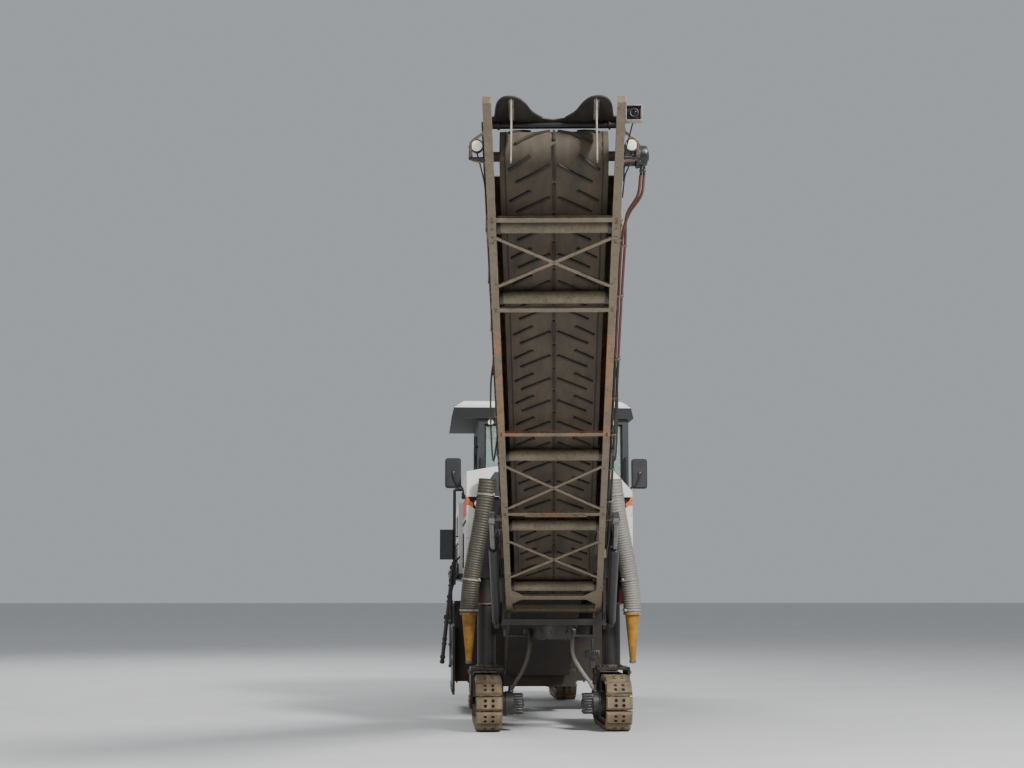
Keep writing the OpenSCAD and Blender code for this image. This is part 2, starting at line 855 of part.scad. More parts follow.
// Side plates, cut back under the head drum, and the tray
module primary_conveyor() {
    color("#5c452f")
        on_primary() {
            both_sides()
                slab([[-150, -primary_depth], [primary_l - 350, -primary_depth], [primary_l + 120, -40],
                        [primary_l + 120, primary_depth], [-150, primary_depth]],
                    primary_w / 2 - primary_side_t, primary_w / 2);
            block([-150, -primary_w / 2 + primary_side_t, -primary_depth],
                [primary_l - 400, primary_w / 2 - primary_side_t, -primary_depth + 15]);
        }
}

// A round-ended outline round two drums that are l apart
module belt_outline(l, r) {
    translate([0, -r])
        square([l, 2 * r]);
    for (x = [0, l])
        translate([x, 0])
            circle(r, $fn = 64);
}

module belt_loop(l, r, t, w) {
    translate([0, w / 2, 0])
        rotate([90, 0, 0])
            linear_extrude(w)
                difference() {
                    belt_outline(l, r + t);
                    belt_outline(l, r);
                }
}

module primary_belt() {
    color("#2c2a28")
        on_primary() {
            belt_loop(primary_l, primary_r, belt_t, primary_belt_w);
            for (s = [0, primary_l])
                cross_bar(2 * (primary_r - fit_gap), s, 0, -primary_w / 2 + primary_side_t + fit_gap,
                    primary_w / 2 - primary_side_t - fit_gap);
        }
}

// Hoses and spouts, in front of the body

hose_d = 210;
hose_groove = 8;
hose_rings = 60;
hose_sides = 12;
hose_out = 120;
// Corner points of the hose's curve on the left side, from the top: [y, z]
hose_top = [740, 2880];
hose_bow = [790, 2250];
hose_knee = [950, 1850];
hose_foot = [950, 1330];

// Point of the curve at t from 0 to 1, and its direction
function hose_point(t) =
    pow(1 - t, 3) * hose_top + 3 * t * pow(1 - t, 2) * hose_bow + 3 * t * t * (1 - t) * hose_knee
    + pow(t, 3) * hose_foot;
function hose_run(t) =
    let (d = pow(1 - t, 2) * (hose_bow - hose_top) + 2 * t * (1 - t) * (hose_knee - hose_bow)
        + t * t * (hose_foot - hose_knee)) d / norm(d);

module hose_tube() {
    rings = [for (i = [0 : hose_rings - 1])
        let (t = i / (hose_rings - 1), p = hose_point(t), d = hose_run(t),
            r = hose_d / 2 - (i % 2) * hose_groove)
        [for (k = [0 : hose_sides - 1])
            let (a = 360 * k / hose_sides)
            [r * cos(a), p.x - d.y * r * sin(a), p.y + d.x * r * sin(a)]]];
    points = [for (ring = rings) each ring];
    last = (hose_rings - 1) * hose_sides;
    polyhedron(points, [
        [for (k = [hose_sides - 1 : -1 : 0]) k],
        [for (k = [0 : hose_sides - 1]) last + k],
        for (i = [0 : hose_rings - 2])
            for (k = [0 : hose_sides - 1])
                let (a = i * hose_sides + k, b = i * hose_sides + (k + 1) % hose_sides)
                each [[a, b, b + hose_sides], [a, b + hose_sides, a + hose_sides]]
    ]);
}

clamp_h = 50;
// Places of the clamps along the hose's curve
clamp_t = [0.1, 0.74];

module hoses() {
    color("#8b8a80")
        both_sides() {
            translate([body_front_x + hose_out, 0, 0])
                hose_tube();
            for (t = clamp_t)
                translate([body_front_x, hose_point(t).x, hose_point(t).y])
                    block([0, -clamp_h / 2, -clamp_h / 2], [hose_out, clamp_h / 2, clamp_h / 2]);
        }
}

spout_h = 580;

module hose_spouts() {
    color("#d99a1c")
        both_sides()
            translate([body_front_x + hose_out, hose_foot.x, hose_foot.y - face_gap - spout_h])
                cylinder(d1 = 60, d2 = 170, h = spout_h, $fn = 32);
}

mirror_w = 200;
mirror_h = 360;
mirror_z = 2815;
mirror_y = 1130;
mirror_x = body_front_x - 500;
mirror_t = 60;
mirror_arm_d = 32;
mirror_arm_z = 2710;

module mirrors() {
    color("#1c1d1f")
        both_sides() {
            block([mirror_x - mirror_t / 2, mirror_y - mirror_w / 2, mirror_z],
                [mirror_x + mirror_t / 2, mirror_y + mirror_w / 2, mirror_z + mirror_h]);
            post(mirror_arm_d, mirror_x, mirror_y, mirror_arm_z, mirror_z);
            cross_bar(mirror_arm_d, mirror_x, mirror_arm_z, body_half_w, mirror_y + mirror_arm_d / 2);
        }
}

box_w = 165;
box_h = 380;
box_l = 100;
box_z = 1980;

module control_box() {
    color("#2f3134")
        translate([rail_x - box_l / 2, -rail_y - rail_d / 2 - face_gap - box_w, box_z])
            cube([box_l, box_w, box_h]);
}

// Discharge conveyor

belt_under_n = belt_axis_n - belt_drum_r - belt_t;
inner_half_w = conveyor_w / 2 - rail_w;
roller_n = belt_under_n - chevron_h - return_roller_d / 2 - fit_gap;
cross_w = 50;
cross_t = 30;
brace_w = 32;
brace_t = 14;
// Places of the crossbars, the return rollers and both ends of the braced bays, along the conveyor
crossbar_s = [2103, 3546, 5443, 6599];
return_roller_s = [502, 1795, 3107, 5545, 6456];
braced_bays = [[799, 1554], [2209, 2988], [5766, 6378]];

module on_bracket() {
    translate([slew_x, 0, 0])
        rotate([0, 0, -slew])
            children();
}

module on_conveyor() {
    on_bracket()
        translate([pivot_u, 0, pivot_z])
            rotate([0, -incline, 0])
                translate([-pivot_s, 0, -pivot_n])
                    children();
}

module brace(s0, s1) {
    run = norm([s1 - s0, 2 * inner_half_w]);
    translate([(s0 + s1) / 2, 0, brace_t / 2])
        rotate(atan2(2 * inner_half_w, s1 - s0))
            cube([run, brace_w, brace_t], center = true);
}

cover_t = 12;
cover_start_s = 900;
cover_end_s = 6500;
web_end_s = head_s + 250;
tail_cut_n = 300;
tail_cut_s = 1000;

module conveyor_frame() {
    color("#7b6549")
        on_conveyor()
            difference() {
                union() {
                    both_sides() {
                        block([0, inner_half_w, 0], [conveyor_l, conveyor_w / 2, rail_h]);
                        slab([[0, rail_h], [web_end_s, rail_h], [web_end_s, web_h],
                                [tail_cut_s, web_h], [0, tail_cut_n]],
                            conveyor_w / 2 - web_t, conveyor_w / 2);
                        cross_bar(cylinder_pin_d, rod_eye_s, rod_eye_n, conveyor_w / 2 - 1,
                            cylinder_v + eye_w / 2 + 10);
                    }
                    for (s = crossbar_s)
                        block([s - cross_w / 2, -inner_half_w, 0], [s + cross_w / 2, inner_half_w, cross_t]);
                    for (bay = braced_bays)
                        intersection() {
                            union() {
                                brace(bay[0], bay[1]);
                                brace(bay[1], bay[0]);
                            }
                            block([0, -inner_half_w - 1, 0], [conveyor_l, inner_half_w + 1, brace_t]);
                        }
                    block([0, -inner_half_w, 0], [60, inner_half_w, rail_h]);
                    block([300, -inner_half_w, 0], [380, inner_half_w, cross_t]);
                    block([cover_start_s, -conveyor_w / 2, web_h], [cover_end_s, conveyor_w / 2, web_h + cover_t]);
                }
                for (side = [-1, 1])
                    cross_bar(pivot_pin_d + 2 * fit_gap, pivot_s, pivot_n, side * conveyor_w / 2 - 2 * web_t,
                        side * conveyor_w / 2 + 2 * web_t);
            }
}

chevron_t = 24;
chevron_half_w = 380;
chevron_rise = 200;
chevron_start_s = 600;
chevron_count = floor((head_s - chevron_start_s - chevron_rise) / chevron_pitch);

module chevron() {
    linear_extrude(chevron_h + 1)
        polygon([[0, -chevron_half_w], [chevron_rise, 0], [0, chevron_half_w], [chevron_t, chevron_half_w],
            [chevron_rise + chevron_t, 0], [chevron_t, -chevron_half_w]]);
}

module conveyor_belt() {
    color("#3a332b")
        on_conveyor() {
            translate([tail_s, 0, belt_axis_n])
                belt_loop(head_s - tail_s, belt_drum_r, belt_t, belt_w);
            for (i = [0 : chevron_count - 1])
                translate([chevron_start_s + i * chevron_pitch, 0, belt_under_n - chevron_h])
                    chevron();
        }
}

module belt_rollers() {
    color("#6d5c45")
        on_conveyor() {
            for (s = [tail_s, head_s])
                cross_bar(2 * (belt_drum_r - fit_gap), s, belt_axis_n, -belt_w / 2, belt_w / 2);
            cross_bar(80, tail_s, belt_axis_n, -conveyor_w / 2 + web_t + fit_gap, conveyor_w / 2 - web_t - fit_gap);
            cross_bar(80, head_s, belt_axis_n, -conveyor_w / 2 + web_t + fit_gap, conveyor_w / 2 - web_t - fit_gap);
            for (s = return_roller_s)
                cross_bar(return_roller_d, s, roller_n, -inner_half_w + fit_gap, inner_half_w - fit_gap);
        }
}

module head_deflector() {
    color("#26221e")
        on_conveyor() {
            translate([0, 0, web_h - 60])
                linear_extrude(12)
                    polygon([[head_s + 150, -conveyor_w / 2 + web_t], [web_end_s, -conveyor_w / 2 + web_t],
                        [web_end_s, -inner_half_w], [head_s + 850, -inner_half_w + 30],
                        [head_s + 850, -330], [head_s + 500, -160], [head_s + 400, 0],
                        [head_s + 500, 160], [head_s + 850, 330],
                        [head_s + 850, inner_half_w - 30], [web_end_s, inner_half_w],
                        [web_end_s, conveyor_w / 2 - web_t], [head_s + 150, conveyor_w / 2 - web_t]]);
        }
}

lamp_s = 7285;
lamp_v = 600;
lamp_n = 150;
lamp_l = 90;
lamp_foot_t = 20;

// Lamps that look level ahead, each on a foot at its rail
module work_lamps() {
    color("#d8d2b4")
        on_conveyor()
            both_sides() {
                translate([lamp_s, lamp_v, lamp_n])
                    rotate([0, 90 + incline, 0])
                        cylinder(d = work_lamp_d, h = lamp_l, $fn = 48, center = true);
                block([lamp_s - lamp_foot_t / 2, conveyor_w / 2, lamp_foot_t],
                    [lamp_s + lamp_foot_t / 2, lamp_v, lamp_foot_t * 2]);
                block([lamp_s - lamp_foot_t / 2, lamp_v - lamp_foot_t, lamp_foot_t],
                    [lamp_s + lamp_foot_t / 2, lamp_v, lamp_n]);
            }
}

motor_d = 200;
motor_l = 220;
camera_s = 7610;
camera_l = 130;

module drive_motor() {
    color("#2a2927")
        on_conveyor() {
            cross_bar(motor_d, head_s, belt_axis_n, conveyor_w / 2 + face_gap, conveyor_w / 2 + motor_l);
            block([camera_s, conveyor_w / 2 + face_gap, rail_h / 2],
                [camera_s + camera_l, conveyor_w / 2 + camera_l, rail_h / 2 + camera_l]);
        }
}

// Slewing bracket and lift cylinders

cheek_t = 35;
cheek_v = conveyor_w / 2 + run_gap;
bracket_z = nose_z + nose_h;
bracket_h = 70;
bracket_back = 120;
bracket_reach = 230;
pivot_pin_d = 90;
eye_d = 130;
eye_w = 60;
cylinder_pin_d = 60;
barrel_eye_u = pivot_u - barrel_eye_back;
barrel_eye_z = pivot_z - barrel_eye_drop;
rod_eye_u = pivot_u + (rod_eye_s - pivot_s) * cos(incline) - (rod_eye_n - pivot_n) * sin(incline);
rod_eye_z = pivot_z + (rod_eye_s - pivot_s) * sin(incline) + (rod_eye_n - pivot_n) * cos(incline);
cylinder_run = norm([rod_eye_u - barrel_eye_u, rod_eye_z - barrel_eye_z]);
cylinder_tilt = atan2(rod_eye_z - barrel_eye_z, rod_eye_u - barrel_eye_u);

module slew_bracket() {
    color("#2b2d30")
        on_bracket() {
            difference() {
                union() {
                    block([-bracket_back, -cheek_v - cheek_t, bracket_z + face_gap],
                        [bracket_reach, cheek_v + cheek_t, bracket_z + bracket_h]);
                    both_sides()
                        slab([[barrel_eye_u - 90, barrel_eye_z - 70], [barrel_eye_u + 90, barrel_eye_z - 70],
                                [bracket_reach, bracket_z], [pivot_u + 90, pivot_z + 40],
                                [pivot_u + 45, pivot_z + 90], [pivot_u - 45, pivot_z + 90],
                                [pivot_u - 90, pivot_z + 40], [barrel_eye_u - 90, bracket_z + bracket_h]],
                            cheek_v, cheek_v + cheek_t);
                    post(slew_pin_d, 0, 0, nose_z, bracket_z + face_gap + 1);
                    both_sides()
                        cross_bar(cylinder_pin_d, barrel_eye_u, barrel_eye_z, cheek_v + 1, cylinder_v + eye_w / 2 + 10);
                }
            }
            both_sides()
                cross_bar(pivot_pin_d, pivot_u, pivot_z, conveyor_w / 2 - web_t, cheek_v + 1);
        }
}

module on_cylinder() {
    on_bracket()
        translate([barrel_eye_u, 0, barrel_eye_z])
            rotate([0, -cylinder_tilt, 0])
                children();
}

module lift_barrels() {
    color("#35373a")
        on_cylinder()
            both_sides()
                translate([0, cylinder_v, 0])
                    difference() {
                        union() {
                            cross_bar(eye_d, 0, 0, -eye_w / 2, eye_w / 2);
                            translate([eye_d / 2 - 20, 0, 0])
                                rotate([0, 90, 0])
                                    cylinder(d = barrel_d, h = barrel_l - eye_d / 2 + 20, $fn = 48);
                        }
                        cross_bar(cylinder_pin_d + 2 * fit_gap, 0, 0, -eye_w, eye_w);
                        translate([eye_d / 2 + 20, 0, 0])
                            rotate([0, 90, 0])
                                cylinder(d = rod_d + 2 * fit_gap, h = barrel_l, $fn = 48);
                    }
}

rod_in = 1200;

module lift_rods() {
    color("#c9ccce")
        on_cylinder()
            both_sides()
                translate([cylinder_run, cylinder_v, 0])
                    difference() {
                        union() {
                            cross_bar(eye_d, 0, 0, -eye_w / 2, eye_w / 2);
                            translate([-rod_in, 0, 0])
                                rotate([0, 90, 0])
                                    cylinder(d = rod_d, h = rod_in, $fn = 48);
                        }
                        cross_bar(cylinder_pin_d + 20, 0, 0, -eye_w, eye_w);
                    }
}

module track_frame(inner) {
    track_rollers(inner);
    track_yoke();
}

module track_frame_front_left() {
    at_track(true, 1)
        track_frame(-1);
}

module track_frame_front_right() {
    at_track(true, -1)
        track_frame(1);
}

module track_frame_rear_left() {
    at_track(false, 1)
        track_frame(-1);
}

module track_frame_rear_right() {
    at_track(false, -1)
        track_frame(1);
}

module track_front_left() {
    at_track(true, 1)
        track_loop();
}

module track_front_right() {
    at_track(true, -1)
        track_loop();
}

module track_rear_left() {
    at_track(false, 1)
        track_loop();
}

module track_rear_right() {
    at_track(false, -1)
        track_loop();
}

chassis_frame();
front_body();
front_hood();
side_panels();
flash_panels();
front_lamps();
marker_lamps();
platform_deck();
handrails();
cab_frame();
cab_glass();
cab_roof();
seats();
consoles();
engine_block();
engine_bay();
radiator_grille();
drum_housing();
gathering_board();
primary_conveyor();
primary_belt();
hoses();
hose_spouts();
mirrors();
control_box();
slew_bracket();
conveyor_frame();
conveyor_belt();
belt_rollers();
head_deflector();
work_lamps();
drive_motor();
lift_barrels();
lift_rods();
track_frame_front_left();
track_frame_front_right();
track_frame_rear_left();
track_frame_rear_right();
track_front_left();
track_front_right();
track_rear_left();
track_rear_right();
milling_drum();
cab_door();
engine_hood();
scraper_blade();
edge_protector_left();
edge_protector_right();
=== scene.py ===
"""Looks of the cold planer: studio, materials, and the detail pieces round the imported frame.

Metres throughout. +X points forward, +Y to the machine's left, +Z up.
"""

import json
import math

import bmesh
import bpy
from mathutils import Matrix, Vector


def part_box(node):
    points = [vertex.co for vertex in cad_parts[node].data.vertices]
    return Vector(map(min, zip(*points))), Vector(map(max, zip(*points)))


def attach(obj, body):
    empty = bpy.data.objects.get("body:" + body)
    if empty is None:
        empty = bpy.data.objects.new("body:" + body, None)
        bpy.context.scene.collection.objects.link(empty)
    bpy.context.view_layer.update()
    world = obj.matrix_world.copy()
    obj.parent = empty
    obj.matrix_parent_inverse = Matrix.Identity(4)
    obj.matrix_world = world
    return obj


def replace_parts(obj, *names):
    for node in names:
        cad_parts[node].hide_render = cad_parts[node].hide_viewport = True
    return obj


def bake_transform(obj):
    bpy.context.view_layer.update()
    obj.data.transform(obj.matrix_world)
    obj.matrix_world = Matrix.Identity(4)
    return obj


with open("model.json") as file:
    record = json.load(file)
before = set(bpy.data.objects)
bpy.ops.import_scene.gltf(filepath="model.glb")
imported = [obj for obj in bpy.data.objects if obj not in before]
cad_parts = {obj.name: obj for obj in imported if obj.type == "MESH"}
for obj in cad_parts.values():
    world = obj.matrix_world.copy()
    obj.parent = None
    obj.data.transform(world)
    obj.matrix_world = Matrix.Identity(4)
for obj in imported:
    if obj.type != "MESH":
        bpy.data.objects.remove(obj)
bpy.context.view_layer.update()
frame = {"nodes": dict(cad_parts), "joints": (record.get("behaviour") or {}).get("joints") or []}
NODES = frame["nodes"]
JOINTS = {joint["name"]: joint for joint in frame["joints"]}

# Camera

FRONT_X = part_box("track_front_left")[1].x
EYE = Vector((FRONT_X + 18.7, -1.47, 1.57))
YAW = math.radians(3.03)
PITCH = math.radians(7.2)
FOCAL_PX = 1646
PHOTO_W_PX = 1024
SENSOR_MM = 36


def make_camera():
    data = bpy.data.cameras.new("camera")
    data.sensor_fit = "HORIZONTAL"
    data.sensor_width = SENSOR_MM
    data.lens = FOCAL_PX / PHOTO_W_PX * SENSOR_MM
    data.clip_end = 500
    camera = bpy.data.objects.new("camera", data)
    bpy.context.scene.collection.objects.link(camera)
    look = Vector((-math.cos(YAW) * math.cos(PITCH), math.sin(YAW) * math.cos(PITCH), math.sin(PITCH)))
    camera.location = EYE
    camera.rotation_euler = look.to_track_quat("-Z", "Y").to_euler()
    bpy.context.scene.camera = camera


# Mesh building


class Shape:
    """Gathers solids into one mesh. Each is given in the frame of place."""

    def __init__(self, place=None):
        self.bm = bmesh.new()
        self.place = place or Matrix.Identity(4)
        self.weld = False

    def _add(self, points, faces):
        verts = [self.bm.verts.new(self.place @ Vector(p)) for p in points]
        for face in faces:
            self.bm.faces.new([verts[i] for i in face])

    def box(self, low, high):
        (x0, y0, z0), (x1, y1, z1) = low, high
        points = [(x, y, z) for x in (x0, x1) for y in (y0, y1) for z in (z0, z1)]
        self._add(points, [(0, 1, 3, 2), (4, 6, 7, 5), (0, 4, 5, 1), (2, 3, 7, 6), (0, 2, 6, 4),
                           (1, 5, 7, 3)])
        return self

    def prism(self, outline, start, end):
        """A flat outline of points, drawn out by the vector from start to end."""
        start, end = Vector(start), Vector(end)
        n = len(outline)
        points = [Vector(p) + start for p in outline] + [Vector(p) + end for p in outline]
        faces = [tuple(range(n)), tuple(range(2 * n - 1, n - 1, -1))]
        faces += [(i, n + i, n + (i + 1) % n, (i + 1) % n) for i in range(n)]
        self._add(points, faces)
        return self

    def plate_x(self, outline, x0, x1):
        return self.prism([(0, y, z) for y, z in outline], (x0, 0, 0), (x1, 0, 0))

    def plate_y(self, outline, y0, y1):
        return self.prism([(x, 0, z) for x, z in outline], (0, y0, 0), (0, y1, 0))

    def bar(self, a, b, d, d2=None, sides=20):
        """A round bar from a to b, tapered to d2."""
        a, b = Vector(a), Vector(b)
        return self.rings([a, b], [d / 2, (d2 or d) / 2], sides)

    def rings(self, path, radii, sides=12):
        """Round sections of the given radii along a path, closed at both ends."""
        path = [Vector(p) for p in path]
        last = len(path) - 1
        points, side = [], None
        for i, p in enumerate(path):
            run = (path[min(i + 1, last)] - path[max(i - 1, 0)]).normalized()
            if side is None:
                side = run.orthogonal().normalized()
            side = (side - run * side.dot(run)).normalized()
            up = run.cross(side)
            for k in range(sides):
                a = math.tau * k / sides
                points.append(p + (side * math.cos(a) + up * math.sin(a)) * radii[i])
        faces = [tuple(range(sides - 1, -1, -1)), tuple(last * sides + k for k in range(sides))]
        for i in range(last):
            for k in range(sides):
                a, b = i * sides + k, i * sides + (k + 1) % sides
                faces.append((a, b, b + sides, a + sides))
        self._add(points, faces)
        return self

    def tube(self, corners, d, sides=10, steps=8):
        path = smooth_path(corners, steps)
        return self.rings(path, [d / 2] * len(path), sides)

    def lathe(self, at, axis, profile, sides=32, closed=False):
        """A turned solid: points of radius and height along the axis."""
        at, axis = Vector(at), Vector(axis).normalized()
        u = axis.orthogonal().normalized()
        v = axis.cross(u)
        rows, points, faces = [], [], []
        for r, h in profile:
            centre = at + axis * h
            first = len(points)
            if r == 0:
                points.append(centre)
            else:
                turns = [math.tau * k / sides for k in range(sides)]
                points += [centre + (u * math.cos(a) + v * math.sin(a)) * r for a in turns]
            rows.append(range(first, len(points)))
        if closed:
            rows.append(rows[0])
        for low_row, high_row in zip(rows, rows[1:]):
            for k in range(sides):
                m = (k + 1) % sides
                corner = [low_row[k % len(low_row)], low_row[m % len(low_row)],
                          high_row[m % len(high_row)], high_row[k % len(high_row)]]
                face = tuple(dict.fromkeys(corner))
                if len(face) > 2:
                    faces.append(face)
        self._add(points, faces)
        return self

    def band(self, at, axis, d, width, thick, sides=32):
        """A flat band round an axis, outside the diameter d."""
        r, h = d / 2, width / 2
        return self.lathe(at, axis, [(r, -h), (r + thick, -h), (r + thick, h), (r, h)], sides, closed=True)

    def bent(self, corners, d, radius, sides=10):
        """A round bar along straight runs with rounded corners."""
        corners = [Vector(c) for c in corners]
        path = [corners[0]]
        for before, at, after in zip(corners, corners[1:], corners[2:]):
            r = min(radius, (before - at).length * 0.45, (after - at).length * 0.45)
            path += arc(at + (before - at).normalized() * r, at, at + (after - at).normalized() * r)
        path.append(corners[-1])
        return self.rings(path, [d / 2] * len(path), sides)

    def bolt(self, at, out, d=0.024, h=0.012):
        at, out = Vector(at), Vector(out).normalized()
        return self.bar(at, at + out * h, d, sides=6)

    def bolt_circle(self, centre, out, count, r, d, h, turn=0.0):
        """Bolts evenly spaced round a centre, facing along out, which is the y or the z axis."""
        for place in circle(count, r, "xz" if out[1] else "xy", turn):
            self.bolt(Vector(centre) + place, out, d, h)
        return self

    def cap(self, at, out, r, rim, top_r, h, sides=24):
        """A round cap with a sloping edge."""
        return self.lathe(at, out, [(0, 0), (r, 0), (r, rim), (top_r, h), (0, h)], sides)

    def button(self, at, out, r, rim, h, sides=16):
        """A round button that rises to its middle."""
        return self.lathe(at, out, [(0, 0), (r, 0), (r, rim), (0, h)], sides)

    def grip(self, a, b, out, d, radius):
        """A handle between two places on a wall, standing off it by out."""
        a, b, out = Vector(a), Vector(b), Vector(out)
        return self.bent([a, a + out, b + out, b], d, radius)

    def frame(self, low, high, wide, thin):
        """Four bars of an upright frame inside low and high; thin is the axis it faces, 0 or 1."""
        for axis in (2, 1 - thin):
            for place in (low[axis], high[axis] - wide):
                start, end = list(low), list(high)
                start[axis], end[axis] = place, place + wide
                self.box(start, end)
        return self

    def louvres(self, ends, y, z0, pitch, count, slat):
        """Slats on a side wall at y, each an outline of distance out and height."""
        side = 1 if y > 0 else -1
        for k in range(count):
            outline = [(0, side * out, z0 + pitch * k + up) for out, up in slat]
            self.prism(outline, (ends[0], y, 0), (ends[1], y, 0))
        return self

    def done(self, name, look, body, bevel=0.0, smooth=35, segments=1):
        if self.weld:
            bmesh.ops.remove_doubles(self.bm, verts=self.bm.verts, dist=1e-5)
        mesh = bpy.data.meshes.new(name)
        bmesh.ops.recalc_face_normals(self.bm, faces=self.bm.faces)
        self.bm.to_mesh(mesh)
        self.bm.free()
        piece = bpy.data.objects.new(name, mesh)
        bpy.context.scene.collection.objects.link(piece)
        mesh.materials.append(LOOKS[look])
        for face in mesh.polygons:
            face.use_smooth = True
        mesh.set_sharp_from_angle(angle=math.radians(smooth))
        if bevel:
            rounding = piece.modifiers.new("rounding", "BEVEL")
            rounding.width = bevel
            rounding.segments = segments
            rounding.limit_method = "ANGLE"
            rounding.angle_limit = math.radians(40)
        if body:
            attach(piece, body)
        return piece


def smooth_path(corners, steps=8):
    """Catmull-Rom points through the corners."""
    pts = [Vector(p) for p in corners]
    pts = [pts[0] * 2 - pts[1]] + pts + [pts[-1] * 2 - pts[-2]]
    path = []
    for a, b, c, d in zip(pts, pts[1:], pts[2:], pts[3:]):
        for i in range(steps):
            t = i / steps
            path.append(0.5 * (2 * b + (c - a) * t + (2 * a - 5 * b + 4 * c - d) * t * t
                               + (3 * b - a - 3 * c + d) * t ** 3))
    path.append(pts[-2])
    return path


def arc(start, corner, end, steps=4):
    """Points of the curve that rounds a corner."""
    shares = [i / steps for i in range(steps + 1)]
    return [start * (1 - t) ** 2 + corner * 2 * t * (1 - t) + end * t * t for t in shares]


def rounded(outline, radius):
    """A flat outline with rounded corners."""
    points, n = [], len(outline)
    for i in range(n):
        before, at, after = (Vector(outline[(i + k) % n]) for k in (-1, 0, 1))
        points += [(p.x, p.y) for p in arc(at + (before - at).normalized() * radius, at,
                                           at + (after - at).normalized() * radius)]
    return points


def rounded_rectangle(low, high, radius):
    (a0, b0), (a1, b1) = low, high
    return rounded([(a0, b0), (a1, b0), (a1, b1), (a0, b1)], radius)


def circle(count, r, plane="xz", turn=0.0):
    """Offsets evenly spaced round a circle; turn is a share of one space."""
    for k in range(count):
        a = math.tau * (k + turn) / count
        u, v = r * math.cos(a), r * math.sin(a)
        yield Vector((u, v, 0) if plane == "xy" else (u, 0, v))


# Materials


class Look:
    """A node material built up step by step."""

    def __init__(self, name):
        self.material = bpy.data.materials.new(name)
        self.material.use_nodes = True
        self.tree = self.material.node_tree
        self.shader = next(n for n in self.tree.nodes if n.type == "BSDF_PRINCIPLED")
        self.where = self.node("ShaderNodeTexCoord").outputs["Object"]

    def node(self, kind, **settings):
        n = self.tree.nodes.new(kind)
        for key, value in settings.items():
            setattr(n, key, value)
        return n

    def put(self, socket, value):
        """Links an output to a socket, or sets a plain value."""
        if isinstance(value, bpy.types.NodeSocket):
            self.tree.links.new(value, socket)
        elif isinstance(value, tuple) and len(value) == 3:
            socket.default_value = (*value, 1)
        else:
            socket.default_value = value

    def noise(self, scale, detail=4, rough=0.6, stretch=None):
        n = self.node("ShaderNodeTexNoise")
        where = self.where
        if stretch:
            mapping = self.node("ShaderNodeMapping")
            mapping.inputs["Scale"].default_value = stretch
            self.put(mapping.inputs["Vector"], where)
            where = mapping.outputs["Vector"]
        self.put(n.inputs["Vector"], where)
        n.inputs["Scale"].default_value = scale
        n.inputs["Detail"].default_value = detail
        n.inputs["Roughness"].default_value = rough
        return n.outputs["Fac"]

    def step(self, value, low, high, out_low=0.0, out_high=1.0):
        n = self.node("ShaderNodeMapRange", clamp=True)
        self.put(n.inputs["Value"], value)
        for key, number in zip(("From Min", "From Max", "To Min", "To Max"),
                               (low, high, out_low, out_high)):
            n.inputs[key].default_value = number
        return n.outputs["Result"]

    def math(self, how, a, b=0.0):
        n = self.node("ShaderNodeMath", operation=how)
        self.put(n.inputs[0], a)
        self.put(n.inputs[1], b)
        return n.outputs[0]

    def mix(self, share, a, b):
        n = self.node("ShaderNodeMix", data_type="RGBA")
        self.put(n.inputs["Factor"], share)
        self.put(n.inputs[6], a)
        self.put(n.inputs[7], b)
        return n.outputs[2]

    def upward(self):
        """1 on faces that look up, 0 on those that look down."""
        parts = self.node("ShaderNodeSeparateXYZ")
        self.put(parts.inputs[0], self.node("ShaderNodeNewGeometry").outputs["Normal"])
        return self.step(parts.outputs["Z"], -0.2, 0.9)

    def height(self, low, high):
        """1 at the height low, falling to 0 at high."""
        parts = self.node("ShaderNodeSeparateXYZ")
        self.put(parts.inputs[0], self.where)
        return self.step(parts.outputs["Z"], low, high, 1.0, 0.0)

    def edges(self, width=0.006):
        """1 along sharp edges, with the shader's normal rounded there."""
        bevel = self.node("ShaderNodeBevel", samples=4)
        bevel.inputs["Radius"].default_value = width
        dot = self.node("ShaderNodeVectorMath", operation="DOT_PRODUCT")
        self.put(dot.inputs[0], bevel.outputs["Normal"])
        self.put(dot.inputs[1], self.node("ShaderNodeNewGeometry").outputs["Normal"])
        self.rounded = bevel.outputs["Normal"]
        return self.step(dot.outputs["Value"], 0.99, 0.8)

    def bump(self, height, distance=0.002, strength=0.5):
        n = self.node("ShaderNodeBump")
        n.inputs["Distance"].default_value = distance
        n.inputs["Strength"].default_value = strength
        self.put(n.inputs["Height"], height)
        if getattr(self, "rounded", None):
            self.put(n.inputs["Normal"], self.rounded)
        self.put(self.shader.inputs["Normal"], n.outputs["Normal"])

    def finish(self, colour, rough, metal=0.0, **more):
        self.put(self.shader.inputs["Base Color"], colour)
        self.put(self.shader.inputs["Roughness"], rough)
        self.put(self.shader.inputs["Metallic"], metal)
        for key, value in more.items():
            self.put(self.shader.inputs[key.replace("_", " ")], value)
        return self.material


DUST = (0.34, 0.25, 0.16)
DARK_DIRT = (0.045, 0.034, 0.024)


